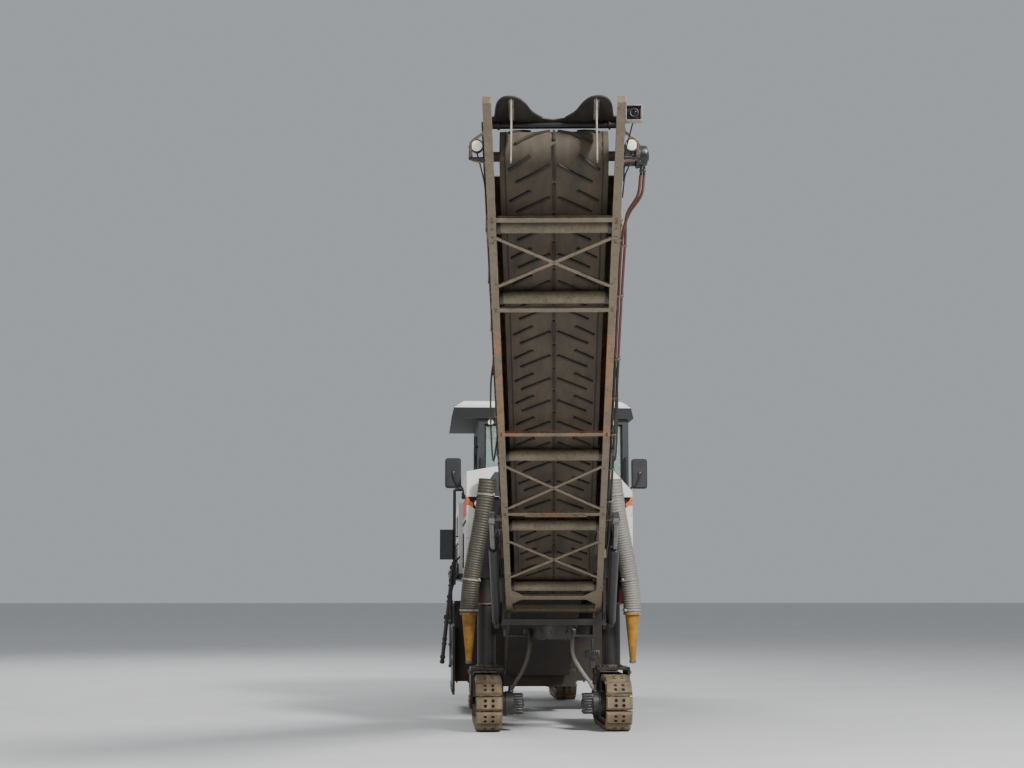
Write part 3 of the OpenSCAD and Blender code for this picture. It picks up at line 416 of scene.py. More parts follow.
def painted(name, colour, dust=0.5, rough=0.38, chip=(0.05, 0.045, 0.04), wear=0.7, low=0.4, high=2.6,
            upper=None, edge_z=0.0):
    """Paint with dust from below and on top faces, streaks, and chipped edges."""
    look = Look(name)
    tone = look.mix(look.step(look.noise(1.6), 0.35, 0.7, 0.0, 0.35), colour,
                    tuple(c * 0.72 for c in colour))
    if upper:
        tone = look.mix(look.height(edge_z - 0.001, edge_z + 0.001), upper, tone)
    streaks = look.step(look.noise(7, 5, 0.7, (1, 1, 0.12)), 0.52, 0.75)
    tone = look.mix(look.math("MULTIPLY", streaks, 0.35 * dust), tone, DARK_DIRT)
    spread = look.math("ADD", look.math("MULTIPLY", look.upward(), 0.5), look.height(low, high))
    patches = look.step(look.noise(5, 8, 0.65), 0.3, 0.72)
    dusty = look.math("MULTIPLY", look.math("MULTIPLY", spread, patches), dust)
    tone = look.mix(dusty, tone, DUST)
    worn = look.math("MULTIPLY", look.edges(), look.step(look.noise(22, 6), 0.45, 0.62, 0.0, wear))
    tone = look.mix(worn, tone, chip)
    look.bump(look.noise(160, 2), 0.0006, 0.35)
    return look.finish(tone, look.step(dusty, 0, 0.6, rough, 0.85))


def bare_steel(name, colour, rust=(0.33, 0.13, 0.045), amount=0.5, rough=0.6, metal=0.35):
    """Steel under dust, with rust in patches."""
    look = Look(name)
    tone = look.mix(look.step(look.noise(3.2, 6), 0.35, 0.7), colour, tuple(c * 0.6 for c in colour))
    patches = look.step(look.noise(2.1, 7, 0.7, (1, 1, 1.7)), 0.62 - 0.3 * amount, 0.78 - 0.25 * amount)
    tone = look.mix(look.math("MULTIPLY", patches, amount), tone, rust)
    grime = look.step(look.noise(30, 6, 0.7), 0.5, 0.72, 0.0, 0.7)
    tone = look.mix(grime, tone, DARK_DIRT)
    worn = look.math("MULTIPLY", look.edges(), look.step(look.noise(18, 5), 0.4, 0.6, 0.0, 0.6))
    tone = look.mix(worn, tone, (0.62, 0.58, 0.5))
    look.bump(look.noise(70, 6), 0.0015, 0.5)
    return look.finish(tone, look.step(patches, 0, 1, rough, 0.9), metal)


def rubber(name, colour, dusted, share=0.6, grain=90):
    """Rubber with dried dust rubbed along it."""
    look = Look(name)
    base = look.mix(look.step(look.noise(4, 6), 0.3, 0.7), colour, tuple(c * 0.55 for c in colour))
    film = look.step(look.noise(9, 8, 0.7, (0.25, 1, 0.25)), 0.35, 0.72, 0.0, share)
    scuffs = look.step(look.noise(60, 5, 0.7), 0.55, 0.75, 0.0, 0.6)
    tone = look.mix(film, base, dusted)
    tone = look.mix(scuffs, tone, tuple(c * 0.5 for c in dusted))
    look.bump(look.noise(grain, 5), 0.002, 0.5)
    return look.finish(tone, look.step(film, 0, 1, 0.7, 0.95))


def glass(name, tint, share=0.75):
    look = Look(name)
    smear = look.step(look.noise(2.4, 5, 0.6, (1, 1, 0.4)), 0.45, 0.8, 0.0, 0.5)
    look.bump(look.noise(1.2, 1), 0.001, 0.08)
    return look.finish(look.mix(smear, tint, (0.55, 0.55, 0.5)), look.step(smear, 0, 1, 0.04, 0.35),
                       Transmission_Weight=share, IOR=1.46)


def lamp_lens(name, colour, glow=0.0):
    look = Look(name)
    ribs = look.node("ShaderNodeTexVoronoi")
    look.put(ribs.inputs["Vector"], look.where)
    ribs.inputs["Scale"].default_value = 60
    tone = look.mix(look.step(look.noise(20), 0.45, 0.8, 0.0, 0.35), colour, DUST)
    look.bump(ribs.outputs["Distance"], 0.002, 0.6)
    return look.finish(tone, look.step(look.noise(30), 0.3, 0.8, 0.08, 0.3), Emission_Color=colour,
                       Emission_Strength=glow, Coat_Weight=0.6)


def plastic(name, colour, rough=0.55, dust=0.3):
    look = Look(name)
    film = look.math("MULTIPLY", look.math("ADD", look.upward(), 0.35),
                     look.step(look.noise(8, 7), 0.4, 0.75, 0.0, dust))
    tone = look.mix(film, look.mix(look.step(look.noise(3), 0.3, 0.8), colour,
                                   tuple(c * 0.7 for c in colour)), DUST)
    look.edges(0.004)
    look.bump(look.noise(220, 2), 0.0006, 0.4)
    return look.finish(tone, look.step(film, 0, 0.5, rough, 0.85))


def fabric(name, colour):
    look = Look(name)
    weave = look.node("ShaderNodeTexWave")
    look.put(weave.inputs["Vector"], look.where)
    weave.inputs["Scale"].default_value = 90
    tone = look.mix(look.step(look.noise(6), 0.3, 0.8), colour, tuple(min(1, c * 1.8) for c in colour))
    look.bump(weave.outputs["Fac"], 0.002, 0.5)
    return look.finish(tone, look.step(look.noise(12), 0.2, 0.8, 0.75, 0.95), Sheen_Weight=0.4)


def chrome(name, shine=(0.42, 0.43, 0.44)):
    look = Look(name)
    film = look.step(look.noise(14, 6, 0.7), 0.5, 0.75, 0.0, 0.5)
    look.bump(look.noise(120, 2, 0.5, (0.2, 1, 1)), 0.0003, 0.3)
    return look.finish(look.mix(film, shine, (0.1, 0.08, 0.055)), look.step(film, 0, 0.5, 0.12, 0.6), 0.95)


def conveyor_steel(name, place):
    """The conveyor frame's dusty olive steel, orange with rust along part of its rails, and made lighter
    along the rails' underside as painted bounce light.
    """
    look = Look(name)
    mapping = look.node("ShaderNodeMapping", vector_type="TEXTURE")
    mapping.inputs["Location"].default_value = place.to_translation()
    mapping.inputs["Rotation"].default_value = place.to_euler()
    look.put(mapping.inputs["Vector"], look.where)
    along = look.node("ShaderNodeSeparateXYZ")
    look.put(along.inputs[0], mapping.outputs["Vector"])
    s = along.outputs["X"]
    tone = look.mix(look.step(look.noise(2.6, 7), 0.3, 0.72), (0.13, 0.108, 0.07), (0.08, 0.066, 0.044))
    tone = look.mix(look.step(look.noise(9, 8, 0.7), 0.5, 0.74, 0.0, 0.75), tone, (0.22, 0.18, 0.12))
    band = look.math("MULTIPLY", look.step(s, 3.3, 3.5), look.step(s, 5.2, 5.05))
    spots = look.step(look.noise(6, 8, 0.75), 0.42, 0.6)
    rust = look.math("MULTIPLY", look.math("ADD", look.math("MULTIPLY", band, 0.9), 0.14), spots)
    tone = look.mix(rust, tone, (0.33, 0.13, 0.035))
    # Painted bounce light: the rails' underside is made lighter, as if lit from the floor below
    tone = look.mix(look.step(along.outputs["Z"], 0.006, 0.001, 0.0, 0.3), tone, (0.33, 0.28, 0.2))
    grime = look.step(look.noise(26, 7, 0.7), 0.55, 0.75, 0.0, 0.75)
    tone = look.mix(grime, tone, DARK_DIRT)
    worn = look.math("MULTIPLY", look.edges(), look.step(look.noise(12, 5), 0.4, 0.6, 0.0, 0.7))
    tone = look.mix(worn, tone, (0.6, 0.55, 0.45))
    look.bump(look.noise(60, 6), 0.002, 0.5)
    return look.finish(tone, look.step(grime, 0, 1, 0.62, 0.9), 0.15)


# Studio


def make_studio():
    floor = bpy.data.objects.new("floor", bpy.data.meshes.new("floor"))
    size = 220
    floor.data.from_pydata([(-size, -size, 0), (size, -size, 0), (size, size, 0), (-size, size, 0)], [],
                           [(0, 1, 2, 3)])
    bpy.context.scene.collection.objects.link(floor)
    look = Look("floor")
    tone = look.mix(look.step(look.noise(0.8, 6), 0.3, 0.7), (0.62, 0.62, 0.61), (0.57, 0.57, 0.56))
    look.bump(look.noise(40, 4), 0.002, 0.2)
    floor.data.materials.append(look.finish(tone, look.step(look.noise(3), 0, 1, 0.75, 0.9)))

    world = bpy.data.worlds.new("studio")
    bpy.context.scene.world = world
    world.use_nodes = True
    back = world.node_tree.nodes["Background"]
    back.inputs["Color"].default_value = (0.80, 0.84, 0.90, 1)
    back.inputs["Strength"].default_value = 0.46
    # Lights: name, place, aimed at, size, power
    lights = [
        ("key", (14, 9, 15), (0, 0, 1.5), 4, 6200),
        ("fill", (16, -12, 8), (0, 0, 1.5), 10, 900),
        ("rim", (-16, -8, 14), (-3, 0, 1.5), 8, 1800),
    ]
    for name, place, aim, side, power in lights:
        data = bpy.data.lights.new(name, "AREA")
        data.size, data.energy = side, power
        light = bpy.data.objects.new(name, data)
        light.location = place
        light.rotation_euler = (Vector(aim) - Vector(place)).to_track_quat("-Z", "Y").to_euler()
        bpy.context.scene.collection.objects.link(light)


# Places

SLEW_X = JOINTS["conveyor_slew"]["pos_m"][0]
PIVOT = Vector(JOINTS["conveyor_lift"]["pos_m"])
SLEW = math.atan2(-JOINTS["conveyor_lift"]["axis"][0], -JOINTS["conveyor_lift"]["axis"][1])
INCLINE = math.radians(29)
PIVOT_S, PIVOT_N = 0.15, 0.25
# The conveyor's own frame: x along it, y across, z square to its underside
CONVEYOR = (Matrix.Translation(PIVOT) @ Matrix.Rotation(-SLEW, 4, "Z") @ Matrix.Rotation(-INCLINE, 4, "Y")
            @ Matrix.Translation((-PIVOT_S, 0, -PIVOT_N)))

HALF_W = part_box("side_panels")[1].y
BODY_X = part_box("side_panels")[1].x
FASCIA_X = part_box("front_body")[1].x
BODY_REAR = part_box("front_hood")[0].x
ROOF_CAP_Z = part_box("cab_roof")[1].z - 0.08

LOOKS = {
    "white": painted("white_paint", (0.74, 0.73, 0.68), dust=0.45, low=0.8, high=3.4),
    "black": painted("black_paint", (0.010, 0.011, 0.013), dust=0.1, chip=(0.1, 0.09, 0.075), wear=0.5),
    "grey": painted("grey_paint", (0.03, 0.034, 0.039), dust=0.2, low=0.5, high=3.0),
    "slate": painted("slate_paint", (0.045, 0.055, 0.065), dust=0.2, low=0.5, high=2.4),
    "orange": painted("orange_paint", (0.72, 0.12, 0.025), dust=0.35, low=0.8, high=3.0),
    "yellow": bare_steel("yellow_paint", (0.45, 0.21, 0.014), rust=(0.05, 0.032, 0.018), amount=0.62,
                         metal=0.0),
    "roof": painted("roof_paint", (0.008, 0.009, 0.01), dust=0.12, upper=(0.78, 0.78, 0.75),
                    edge_z=ROOF_CAP_Z),
    "steel": bare_steel("dusty_steel", (0.2, 0.155, 0.11)),
    "light_steel": bare_steel("light_steel", (0.36, 0.33, 0.27), amount=0.2),
    "rusty": bare_steel("rusty_steel", (0.2, 0.14, 0.09), amount=0.7, metal=0.2),
    "iron": bare_steel("engine_iron", (0.16, 0.165, 0.165), amount=0.15),
    "dark_steel": bare_steel("dark_steel", (0.07, 0.07, 0.072), amount=0.1, rough=0.42, metal=0.7),
    "conveyor": conveyor_steel("conveyor_steel", CONVEYOR),
    "belt": rubber("belt_rubber", (0.045, 0.034, 0.021), (0.12, 0.092, 0.056)),
    "cleat": rubber("cleat_rubber", (0.014, 0.011, 0.008), (0.05, 0.037, 0.022), share=0.5),
    "roller": bare_steel("roller_steel", (0.2, 0.165, 0.105), amount=0.1, metal=0.15),
    # Near-black steel under the machine: painted shade of the underbody, with rust in patches
    "underbody_shade": bare_steel("underbody_shade_steel", (0.035, 0.029, 0.023), rust=(0.1, 0.05, 0.025), amount=0.35,
                       rough=0.75, metal=0.1),
    "flap": rubber("black_rubber", (0.02, 0.018, 0.017), (0.09, 0.07, 0.05), share=0.4),
    "pad": rubber("track_pad", (0.115, 0.085, 0.048), (0.29, 0.215, 0.125), share=0.85, grain=60),
    "hose": plastic("hose_grey", (0.2, 0.19, 0.165), dust=0.25),
    "olive_hose": plastic("hose_olive", (0.05, 0.045, 0.03), dust=0.2),
    "cable": plastic("cable_black", (0.012, 0.012, 0.013), dust=0.35),
    "brown_cable": plastic("cable_brown", (0.12, 0.035, 0.02), dust=0.4),
    "plastic": plastic("black_plastic", (0.012, 0.013, 0.015), dust=0.1),
    "box": plastic("box_grey", (0.028, 0.033, 0.038), dust=0.12),
    "seal": plastic("rubber_seal", (0.01, 0.01, 0.011), rough=0.8, dust=0.2),
    "screen": plastic("dark_screen", (0.006, 0.008, 0.01), rough=0.15, dust=0.1),
    "glass": glass("window_glass", (0.62, 0.78, 0.72)),
    "mirror": chrome("mirror_face"),
    "lens": lamp_lens("clear_lens", (0.85, 0.83, 0.7), 0.25),
    "red": lamp_lens("red_lens", (0.5, 0.01, 0.015), 0.1),
    "chrome": chrome("rod_chrome", (0.2, 0.2, 0.2)),
    "fabric": fabric("seat_fabric", (0.03, 0.03, 0.034)),
}
# CAD nodes by look
DRESS = {
    "white": "front_hood side_panels engine_bay engine_hood",
    "roof": "cab_roof",
    "black": "chassis_frame front_body platform_deck handrails slew_bracket "
             "edge_protector_left edge_protector_right "
             "track_frame_front_left track_frame_front_right track_frame_rear_left track_frame_rear_right "
             "lift_barrels drive_motor",
    "grey": "cab_frame cab_door",
    "orange": "flash_panels",
    "yellow": "hose_spouts",
    "rusty": "milling_drum",
    # Parts under the machine take the near-black steel, which is painted shade of the underbody
    "underbody_shade": "gathering_board primary_conveyor scraper_blade drum_housing",
    "roller": "belt_rollers",
    "conveyor": "conveyor_frame",
    "belt": "conveyor_belt primary_belt",
    "flap": "head_deflector",
    "pad": "track_front_left track_front_right track_rear_left track_rear_right",
    "hose": "hoses",
    "plastic": "mirrors consoles radiator_grille",
    "box": "control_box",
    "glass": "cab_glass",
    "lens": "front_lamps work_lamps",
    "red": "marker_lamps",
    "chrome": "lift_rods",
    "fabric": "seats",
    "iron": "engine_block",
}


def dress_nodes():
    for look, names in DRESS.items():
        for name in names.split():
            slots = NODES[name].data.materials
            for i in range(len(slots)):
                slots[i] = LOOKS[look]
            if not slots:
                slots.append(LOOKS[look])
    # The door's pane is the second colour of its node
    door = NODES["cab_door"].data.materials
    if len(door) > 1:
        door[len(door) - 1] = LOOKS["glass"]


# Hoses down the body's front

HOSE_D = 0.21
HOSE_RIDGE = 0.006
HOSE_PITCH = 0.03
HOSE_OUT = 0.12
# Places of the clamps, as shares of the hose's length
CLAMPS = (0.1, 0.74, 0.975)
# Corner points of the curves, from the top: distance from the middle, height
HOSE_CURVE = [(0.740, 2.880), (0.790, 2.250), (0.950, 1.850), (0.950, 1.330)]


def bezier(corners, t):
    a, b, c, d = (Vector(p) for p in corners)
    return a * (1 - t) ** 3 + b * 3 * t * (1 - t) ** 2 + c * 3 * t * t * (1 - t) + d * t ** 3


def hose_path(side, at_x, count):
    for i in range(count):
        p = bezier(HOSE_CURVE, i / (count - 1))
        yield Vector((at_x, side * p.x, p.y))


def make_hoses():
    at_x = BODY_X + HOSE_OUT
    for side, look in ((1, "hose"), (-1, "olive_hose")):
        word = "left" if side > 0 else "right"
        ridges = round(path_length(list(hose_path(side, at_x, 40))) / HOSE_PITCH)
        path = list(hose_path(side, at_x, ridges * 4 + 1))
        radii = [HOSE_D / 2 - (0, 0, HOSE_RIDGE, HOSE_RIDGE)[i % 4] for i in range(len(path))]
        hose = Shape().rings(path, radii, 32).done(f"hose_{word}", look, "machine", smooth=50)
        if side > 0:
            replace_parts(hose, "hoses")
        bands = Shape()
        for i in (round(len(path) * t) for t in CLAMPS):
            run = (path[i + 1] - path[i - 1]).normalized()
            bands.band(path[i], run, HOSE_D + 0.004, 0.022, 0.004)
            out = Vector((0.6, -0.8 * side, 0))
            place = path[i] + out * (HOSE_D / 2 + 0.006)
            bands.box(place - Vector((0.012, 0.012, 0.014)), place + Vector((0.016, 0.012, 0.014)))
            bands.bolt(place + Vector((0.014, 0, 0)), (1, 0, 0), 0.014, 0.01)
        bands.done(f"hose_bands_{word}", "light_steel", "machine", 0.001)
        brackets = Shape()
        for t in CLAMPS[:2]:
            p = path[round(len(path) * t)]
            brackets.box((FASCIA_X, p.y - 0.03, p.z - 0.025), (at_x, p.y + 0.03, p.z + 0.025))
            brackets.box((FASCIA_X, p.y - 0.06, p.z - 0.04), (FASCIA_X + 0.008, p.y + 0.06, p.z + 0.04))
        brackets.done(f"hose_brackets_{word}", "black", "machine", 0.002)
        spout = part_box("hose_spouts")
        top = path[-1]
        rim = Shape().band(top - Vector((0, 0, 0.012)), (0, 0, 1), 0.17, 0.024, 0.02)
        for out in circle(6, 1, "xy"):
            rim.bolt(top - Vector((0, 0, 0.012)) + out * 0.095, out, 0.012, 0.008)
        rim.done(f"spout_rim_{word}", "yellow", "machine", 0.002)
        foot = Vector((at_x, side * HOSE_CURVE[-1][0], spout[0].z))
        tip = Shape().band(foot + Vector((0, 0, 0.02)), (0, 0, 1), 0.068, 0.03, 0.005)
        tip.done(f"spout_tip_{word}", "steel", "machine", 0.001)


# Discharge conveyor

RAIL_OUT = 0.535
RAIL_IN = 0.47
RAIL_H = 0.07
WEB_H = 0.58
HEAD_S, TAIL_S = 6.99, 0.26
BELT_N = 0.33
CROSSBARS = [2.103, 3.546, 5.443, 6.599]
ROLLERS = [0.502, 1.795, 3.107, 5.545, 6.456]
ROLLER_N = 0.0616
BAYS = [(0.799, 1.554), (2.209, 2.988), (5.766, 6.378)]
SPLICE_S = 6.44
SPLICE_T = 0.008
RAIL_BOLT_V = RAIL_IN + 0.033
DOWN = (0, 0, -1)
# Level and ahead, in the conveyor's frame
AHEAD = Vector((math.cos(INCLINE), 0, -math.sin(INCLINE)))


def make_rail_fittings():
    bolts = Shape(CONVEYOR)
    for side in (1, -1):
        for s in CROSSBARS:
            for k in (-0.016, 0.016):
                bolts.bolt((s + k, side * RAIL_BOLT_V, 0), DOWN, 0.02, 0.009)
                bolts.bolt((s + k, side * RAIL_OUT, RAIL_H / 2), (0, side, 0), 0.02, 0.009)
        for s in ROLLERS:
            for k in (-0.045, 0.045):
                bolts.bolt((s + k, side * RAIL_OUT, 0.03), (0, side, 0), 0.022, 0.01)
        for k in (-0.12, -0.05, 0.05, 0.12):
            bolts.bolt((SPLICE_S + k, side * (RAIL_OUT + SPLICE_T), RAIL_H / 2), (0, side, 0))
            bolts.bolt((SPLICE_S + k, side * RAIL_BOLT_V, 0), DOWN, 0.02, 0.009)
        for start, end in BAYS:
            for s in (start + 0.03, end - 0.03):
                bolts.bolt((s, side * (RAIL_IN + 0.02), 0), DOWN, 0.018, 0.008)
    for start, end in BAYS:
        bolts.bolt(((start + end) / 2, 0, 0), DOWN, 0.024, 0.01)
    bolts.done("rail_bolts", "steel", "conveyor")

    ribs = Shape(CONVEYOR)
    for side in (1, -1):
        for k in range(9):
            s = 1.1 + 0.66 * k
            ribs.prism([(-0.005, 0, RAIL_H), (0.005, 0, RAIL_H), (0.005, 0, WEB_H), (-0.005, 0, WEB_H)],
                       (s, side * RAIL_OUT, 0), (s, side * (RAIL_OUT + 0.028), 0))
        ribs.box((0.9, side * RAIL_OUT, WEB_H - 0.03), (7.2, side * (RAIL_OUT + 0.022), WEB_H - 0.022))
    ribs.done("web_ribs", "conveyor", "conveyor", 0.001)

    bearings = Shape(CONVEYOR)
    for side in (1, -1):
        for s in ROLLERS:
            bearings.box((s - 0.055, side * (RAIL_IN - 0.004), ROLLER_N - 0.035),
                         (s + 0.055, side * RAIL_IN, ROLLER_N + 0.1))
            bearings.band((s, side * (RAIL_IN - 0.02), ROLLER_N), (0, side, 0), 0.112, 0.03, 0.006)
        for s in (TAIL_S, HEAD_S):
            bearings.box((s - 0.11, side * RAIL_OUT, BELT_N - 0.09),
                         (s + 0.11, side * (RAIL_OUT + 0.004), BELT_N + 0.09))
            for a in (-0.085, 0.085):
                for b in (-0.065, 0.065):
                    bearings.bolt((s + a, side * (RAIL_OUT + 0.004), BELT_N + b), (0, side, 0), 0.022,
                                  0.008)
    bearings.done("roller_bearings", "dark_steel", "conveyor", 0.001)

    # Belt scraper and skirts
    skirts = Shape(CONVEYOR)
    for side in (1, -1):
        skirts.box((0.7, side * 0.415, BELT_N + 0.20), (6.7, side * 0.427, WEB_H - 0.004))
    skirts.box((HEAD_S - 0.30, -0.42, BELT_N - 0.16), (HEAD_S - 0.285, 0.42, BELT_N - 0.02))
    skirts.done("belt_skirts", "flap", "conveyor", 0.001)

    cover = Shape(CONVEYOR)
    for k in range(8):
        s = 0.93 + 0.79 * k
        cover.box((s, -RAIL_OUT, WEB_H + 0.012), (s + 0.03, RAIL_OUT, WEB_H + 0.022))
    for side in (1, -1):
        for k in range(7):
            s = 1.3 + 0.79 * k
            foot = Vector((s, side * 0.3, WEB_H + 0.01))
            cover.grip(foot, foot + Vector((0.14, 0, 0)), (0, 0, 0.04), 0.012, 0.02)
    cover.done("cover_ribs", "black", "conveyor", 0.002)


def make_conveyor_head():
    bars = Shape(CONVEYOR)
    rubber_ears = Shape(CONVEYOR)
    plates = Shape(CONVEYOR)
    n = WEB_H - 0.06
    outline = [(0.150, 0), (0.150, 0.523), (0.250, 0.523), (0.250, RAIL_IN), (0.390, RAIL_IN - 0.02),
               (0.450, RAIL_IN - 0.06), (0.465, 0.360), (0.450, 0.295), (0.390, 0.235), (0.300, 0.180),
               (0.235, 0.100), (0.215, 0)]
    for side in (1, -1):
        rubber_ears.prism([(HEAD_S + s, side * v, 0) for s, v in outline], (0, 0, n), (0, 0, n + 0.012))
        # Curled outer edge of the rubber
        edge = [(HEAD_S + s, side * (v - 0.006), n + 0.006) for s, v in outline[3:11]]
        rubber_ears.rings(smooth_path(edge, 4), [0.011] * (4 * (len(edge) - 1) + 1), 8)
        plates.prism([(HEAD_S + 0.225, 0, n), (HEAD_S + 0.238, 0, 0.03), (HEAD_S + 0.265, 0, 0.03),
                      (HEAD_S + 0.37, 0, n - 0.1), (HEAD_S + 0.455, 0, n)], (0, side * 0.329, 0),
                     (0, side * 0.341, 0))
        plates.box((HEAD_S + 0.225, side * 0.315, n - 0.008), (HEAD_S + 0.44, side * 0.355, n))
        for k in range(3):
            plates.bolt((HEAD_S + 0.26 + 0.075 * k, side * 0.322, n - 0.008), DOWN, 0.016, 0.008)
        bar_n = n - 0.026
        bars.bar((HEAD_S + 0.18, 0, bar_n), (HEAD_S + 0.18, side * 0.523, bar_n), 0.05)
        for v in (RAIL_IN - 0.03, 0.515):
            bars.band((HEAD_S + 0.18, side * v, bar_n), (0, 1, 0), 0.05, 0.016, 0.01)
    ears = rubber_ears.done("deflector_rubber", "flap", "conveyor")
    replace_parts(ears, "head_deflector")
    plates.done("deflector_plates", "light_steel", "conveyor", 0.001)
    bars.done("deflector_bars", "black", "conveyor")

    # Belt tightener on each rail, with its threaded rod
    tight = Shape(CONVEYOR)
    for side in (1, -1):
        v = side * 0.49
        tight.box((HEAD_S - 0.42, v - 0.02, 0.09), (HEAD_S - 0.36, v + 0.02, 0.17))
        tight.bar((HEAD_S - 0.52, v, 0.13), (HEAD_S - 0.12, v, 0.13), 0.022)
        for k in (-0.45, -0.43, -0.34):
            tight.bolt((HEAD_S + k, v, 0.13), (1, 0, 0), 0.042, 0.016)
    tight.done("belt_tighteners", "steel", "conveyor", 0.001)

    # Gussets on the rails past the head drum
    gusset = Shape(CONVEYOR)
    for side in (1, -1):
        v = side * (RAIL_OUT - 0.006)
        gusset.prism([(7.24, 0, 0.07), (7.6, 0, 0.07), (7.24, 0, 0.3)], (0, v - 0.004, 0),
                     (0, v + 0.004, 0))
    gusset.done("head_gussets", "conveyor", "conveyor", 0.001)


LAMP_PLACE = (7.285, 0.6, 0.15)


def make_work_lamps():
    housing, lens, guard = Shape(CONVEYOR), Shape(CONVEYOR), Shape(CONVEYOR)
    s, v, n = LAMP_PLACE
    for side in (1, -1):
        centre = Vector((s, side * v, n))
        back = centre - AHEAD * 0.045
        housing.lathe(back, AHEAD, [(0, 0), (0.03, 0.004), (0.046, 0.022), (0.050, 0.05), (0.0525, 0.07),
                                    (0.0525, 0.088), (0.044, 0.088), (0.044, 0.08), (0, 0.08)])
        lens.lathe(back + AHEAD * 0.08, AHEAD, [(0, 0.001), (0.043, 0.001), (0.043, 0.004), (0.03, 0.009),
                                                (0, 0.011)])
        # Yoke round the lamp and its foot
        housing.box((s - 0.012, side * 0.545, 0.02), (s + 0.012, side * 0.66, 0.032))
        for k in (v - 0.058, v + 0.055):
            housing.box((s - 0.012, side * k, 0.02), (s + 0.012, side * (k + 0.006), n + 0.012))
            housing.bolt((s, side * k, n), (0, side if k > v else -side, 0), 0.022, 0.01)
        path = [(HEAD_S + a, side * (RAIL_OUT + b), 0.042) for a,
                b in ((0.56, 0), (0.46, 0.106), (0.26, 0.106), (0.24, 0))]
        guard.bent(path, 0.022, 0.03)
        guard.box((s - 0.008, side * RAIL_OUT, 0.03), (s + 0.008, side * (RAIL_OUT + 0.106), 0.038))
        for a in (0.24, 0.56):
            guard.box((HEAD_S + a - 0.03, side * RAIL_OUT, 0.02),
                      (HEAD_S + a + 0.03, side * (RAIL_OUT + 0.006), 0.06))
    made = housing.done("work_lamp_housings", "plastic", "conveyor", 0.001)
    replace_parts(made, "work_lamps")
    lens.done("work_lamp_lenses", "lens", "conveyor")
    guard.done("work_lamp_guards", "steel", "conveyor", 0.001)


MOTOR_FACE = 0.5355


def make_head_drive():
    """Planetary gearbox and hydraulic motor at the head drum, and the camera at the conveyor's tip."""
    axis = (0, 1, 0)
    at = Vector((HEAD_S, MOTOR_FACE, BELT_N))
    body = Shape(CONVEYOR).lathe(at, axis, [(0, 0), (0.1, 0), (0.1, 0.022), (0.078, 0.026), (0.078, 0.11),
                                            (0.1, 0.114), (0.1, 0.138), (0.082, 0.142), (0.082, 0.19),
                                            (0.074, 0.206), (0.04, 0.212), (0.036, 0.2195), (0, 0.2195)],
                                 40)
    made = body.done("head_drive_body", "black", "conveyor", 0.003)
    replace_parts(made, "drive_motor")
    parts = Shape(CONVEYOR)
    parts.bolt_circle(at + Vector((0, 0.022, 0)), axis, 10, 0.089, 0.016, 0.012)
    parts.bolt_circle(at + Vector((0, 0.138, 0)), axis, 10, 0.09, 0.016, 0.012)
    for place in circle(10, 0.079):
        parts.box(at + place + Vector((-0.004, 0.03, -0.004)), at + place + Vector((0.004, 0.108, 0.004)))
    for k in (0.16, 0.185):
        parts.bar(at + Vector((-0.07, k, -0.05)), at + Vector((-0.13, k, -0.085)), 0.022)
        parts.bolt(at + Vector((-0.09, k, -0.0615)), (-0.06, 0, -0.035), 0.03, 0.018)
    parts.done("motor_fittings", "dark_steel", "conveyor", 0.001)

    # The camera is held level in a square frame
    level = CONVEYOR @ Matrix.Translation((7.675, 0.6, 0.1)) @ Matrix.Rotation(INCLINE, 4, "Y")
    camera = Shape(level)
    camera.box((-0.05, -0.05, -0.048), (0.035, 0.05, 0.048))
    camera.lathe((0.035, 0, 0), (1, 0, 0), [(0, 0), (0.04, 0), (0.036, 0.012), (0.026, 0.014),
                                            (0.022, 0.006), (0, 0.006)], 28)
    camera.done("camera_body", "plastic", "conveyor", 0.004)
    square = Shape(level)
    for y in (-0.063, 0.055):
        square.box((-0.03, y, -0.062), (0.052, y + 0.008, 0.062))
    for z in (-0.062, 0.054):
        square.box((-0.03, -0.055, z), (0.052, 0.055, z + 0.008))
    square.box((-0.055, -0.055, -0.02), (-0.05, 0.055, 0.02))
    square.done("camera_bracket", "light_steel", "conveyor", 0.001)
    eye = Shape(level).lathe((0.041, 0, 0), (1, 0, 0), [(0, 0), (0.021, 0), (0.017, 0.006), (0, 0.008)], 24)
    eye.done("camera_eye", "screen", "conveyor")


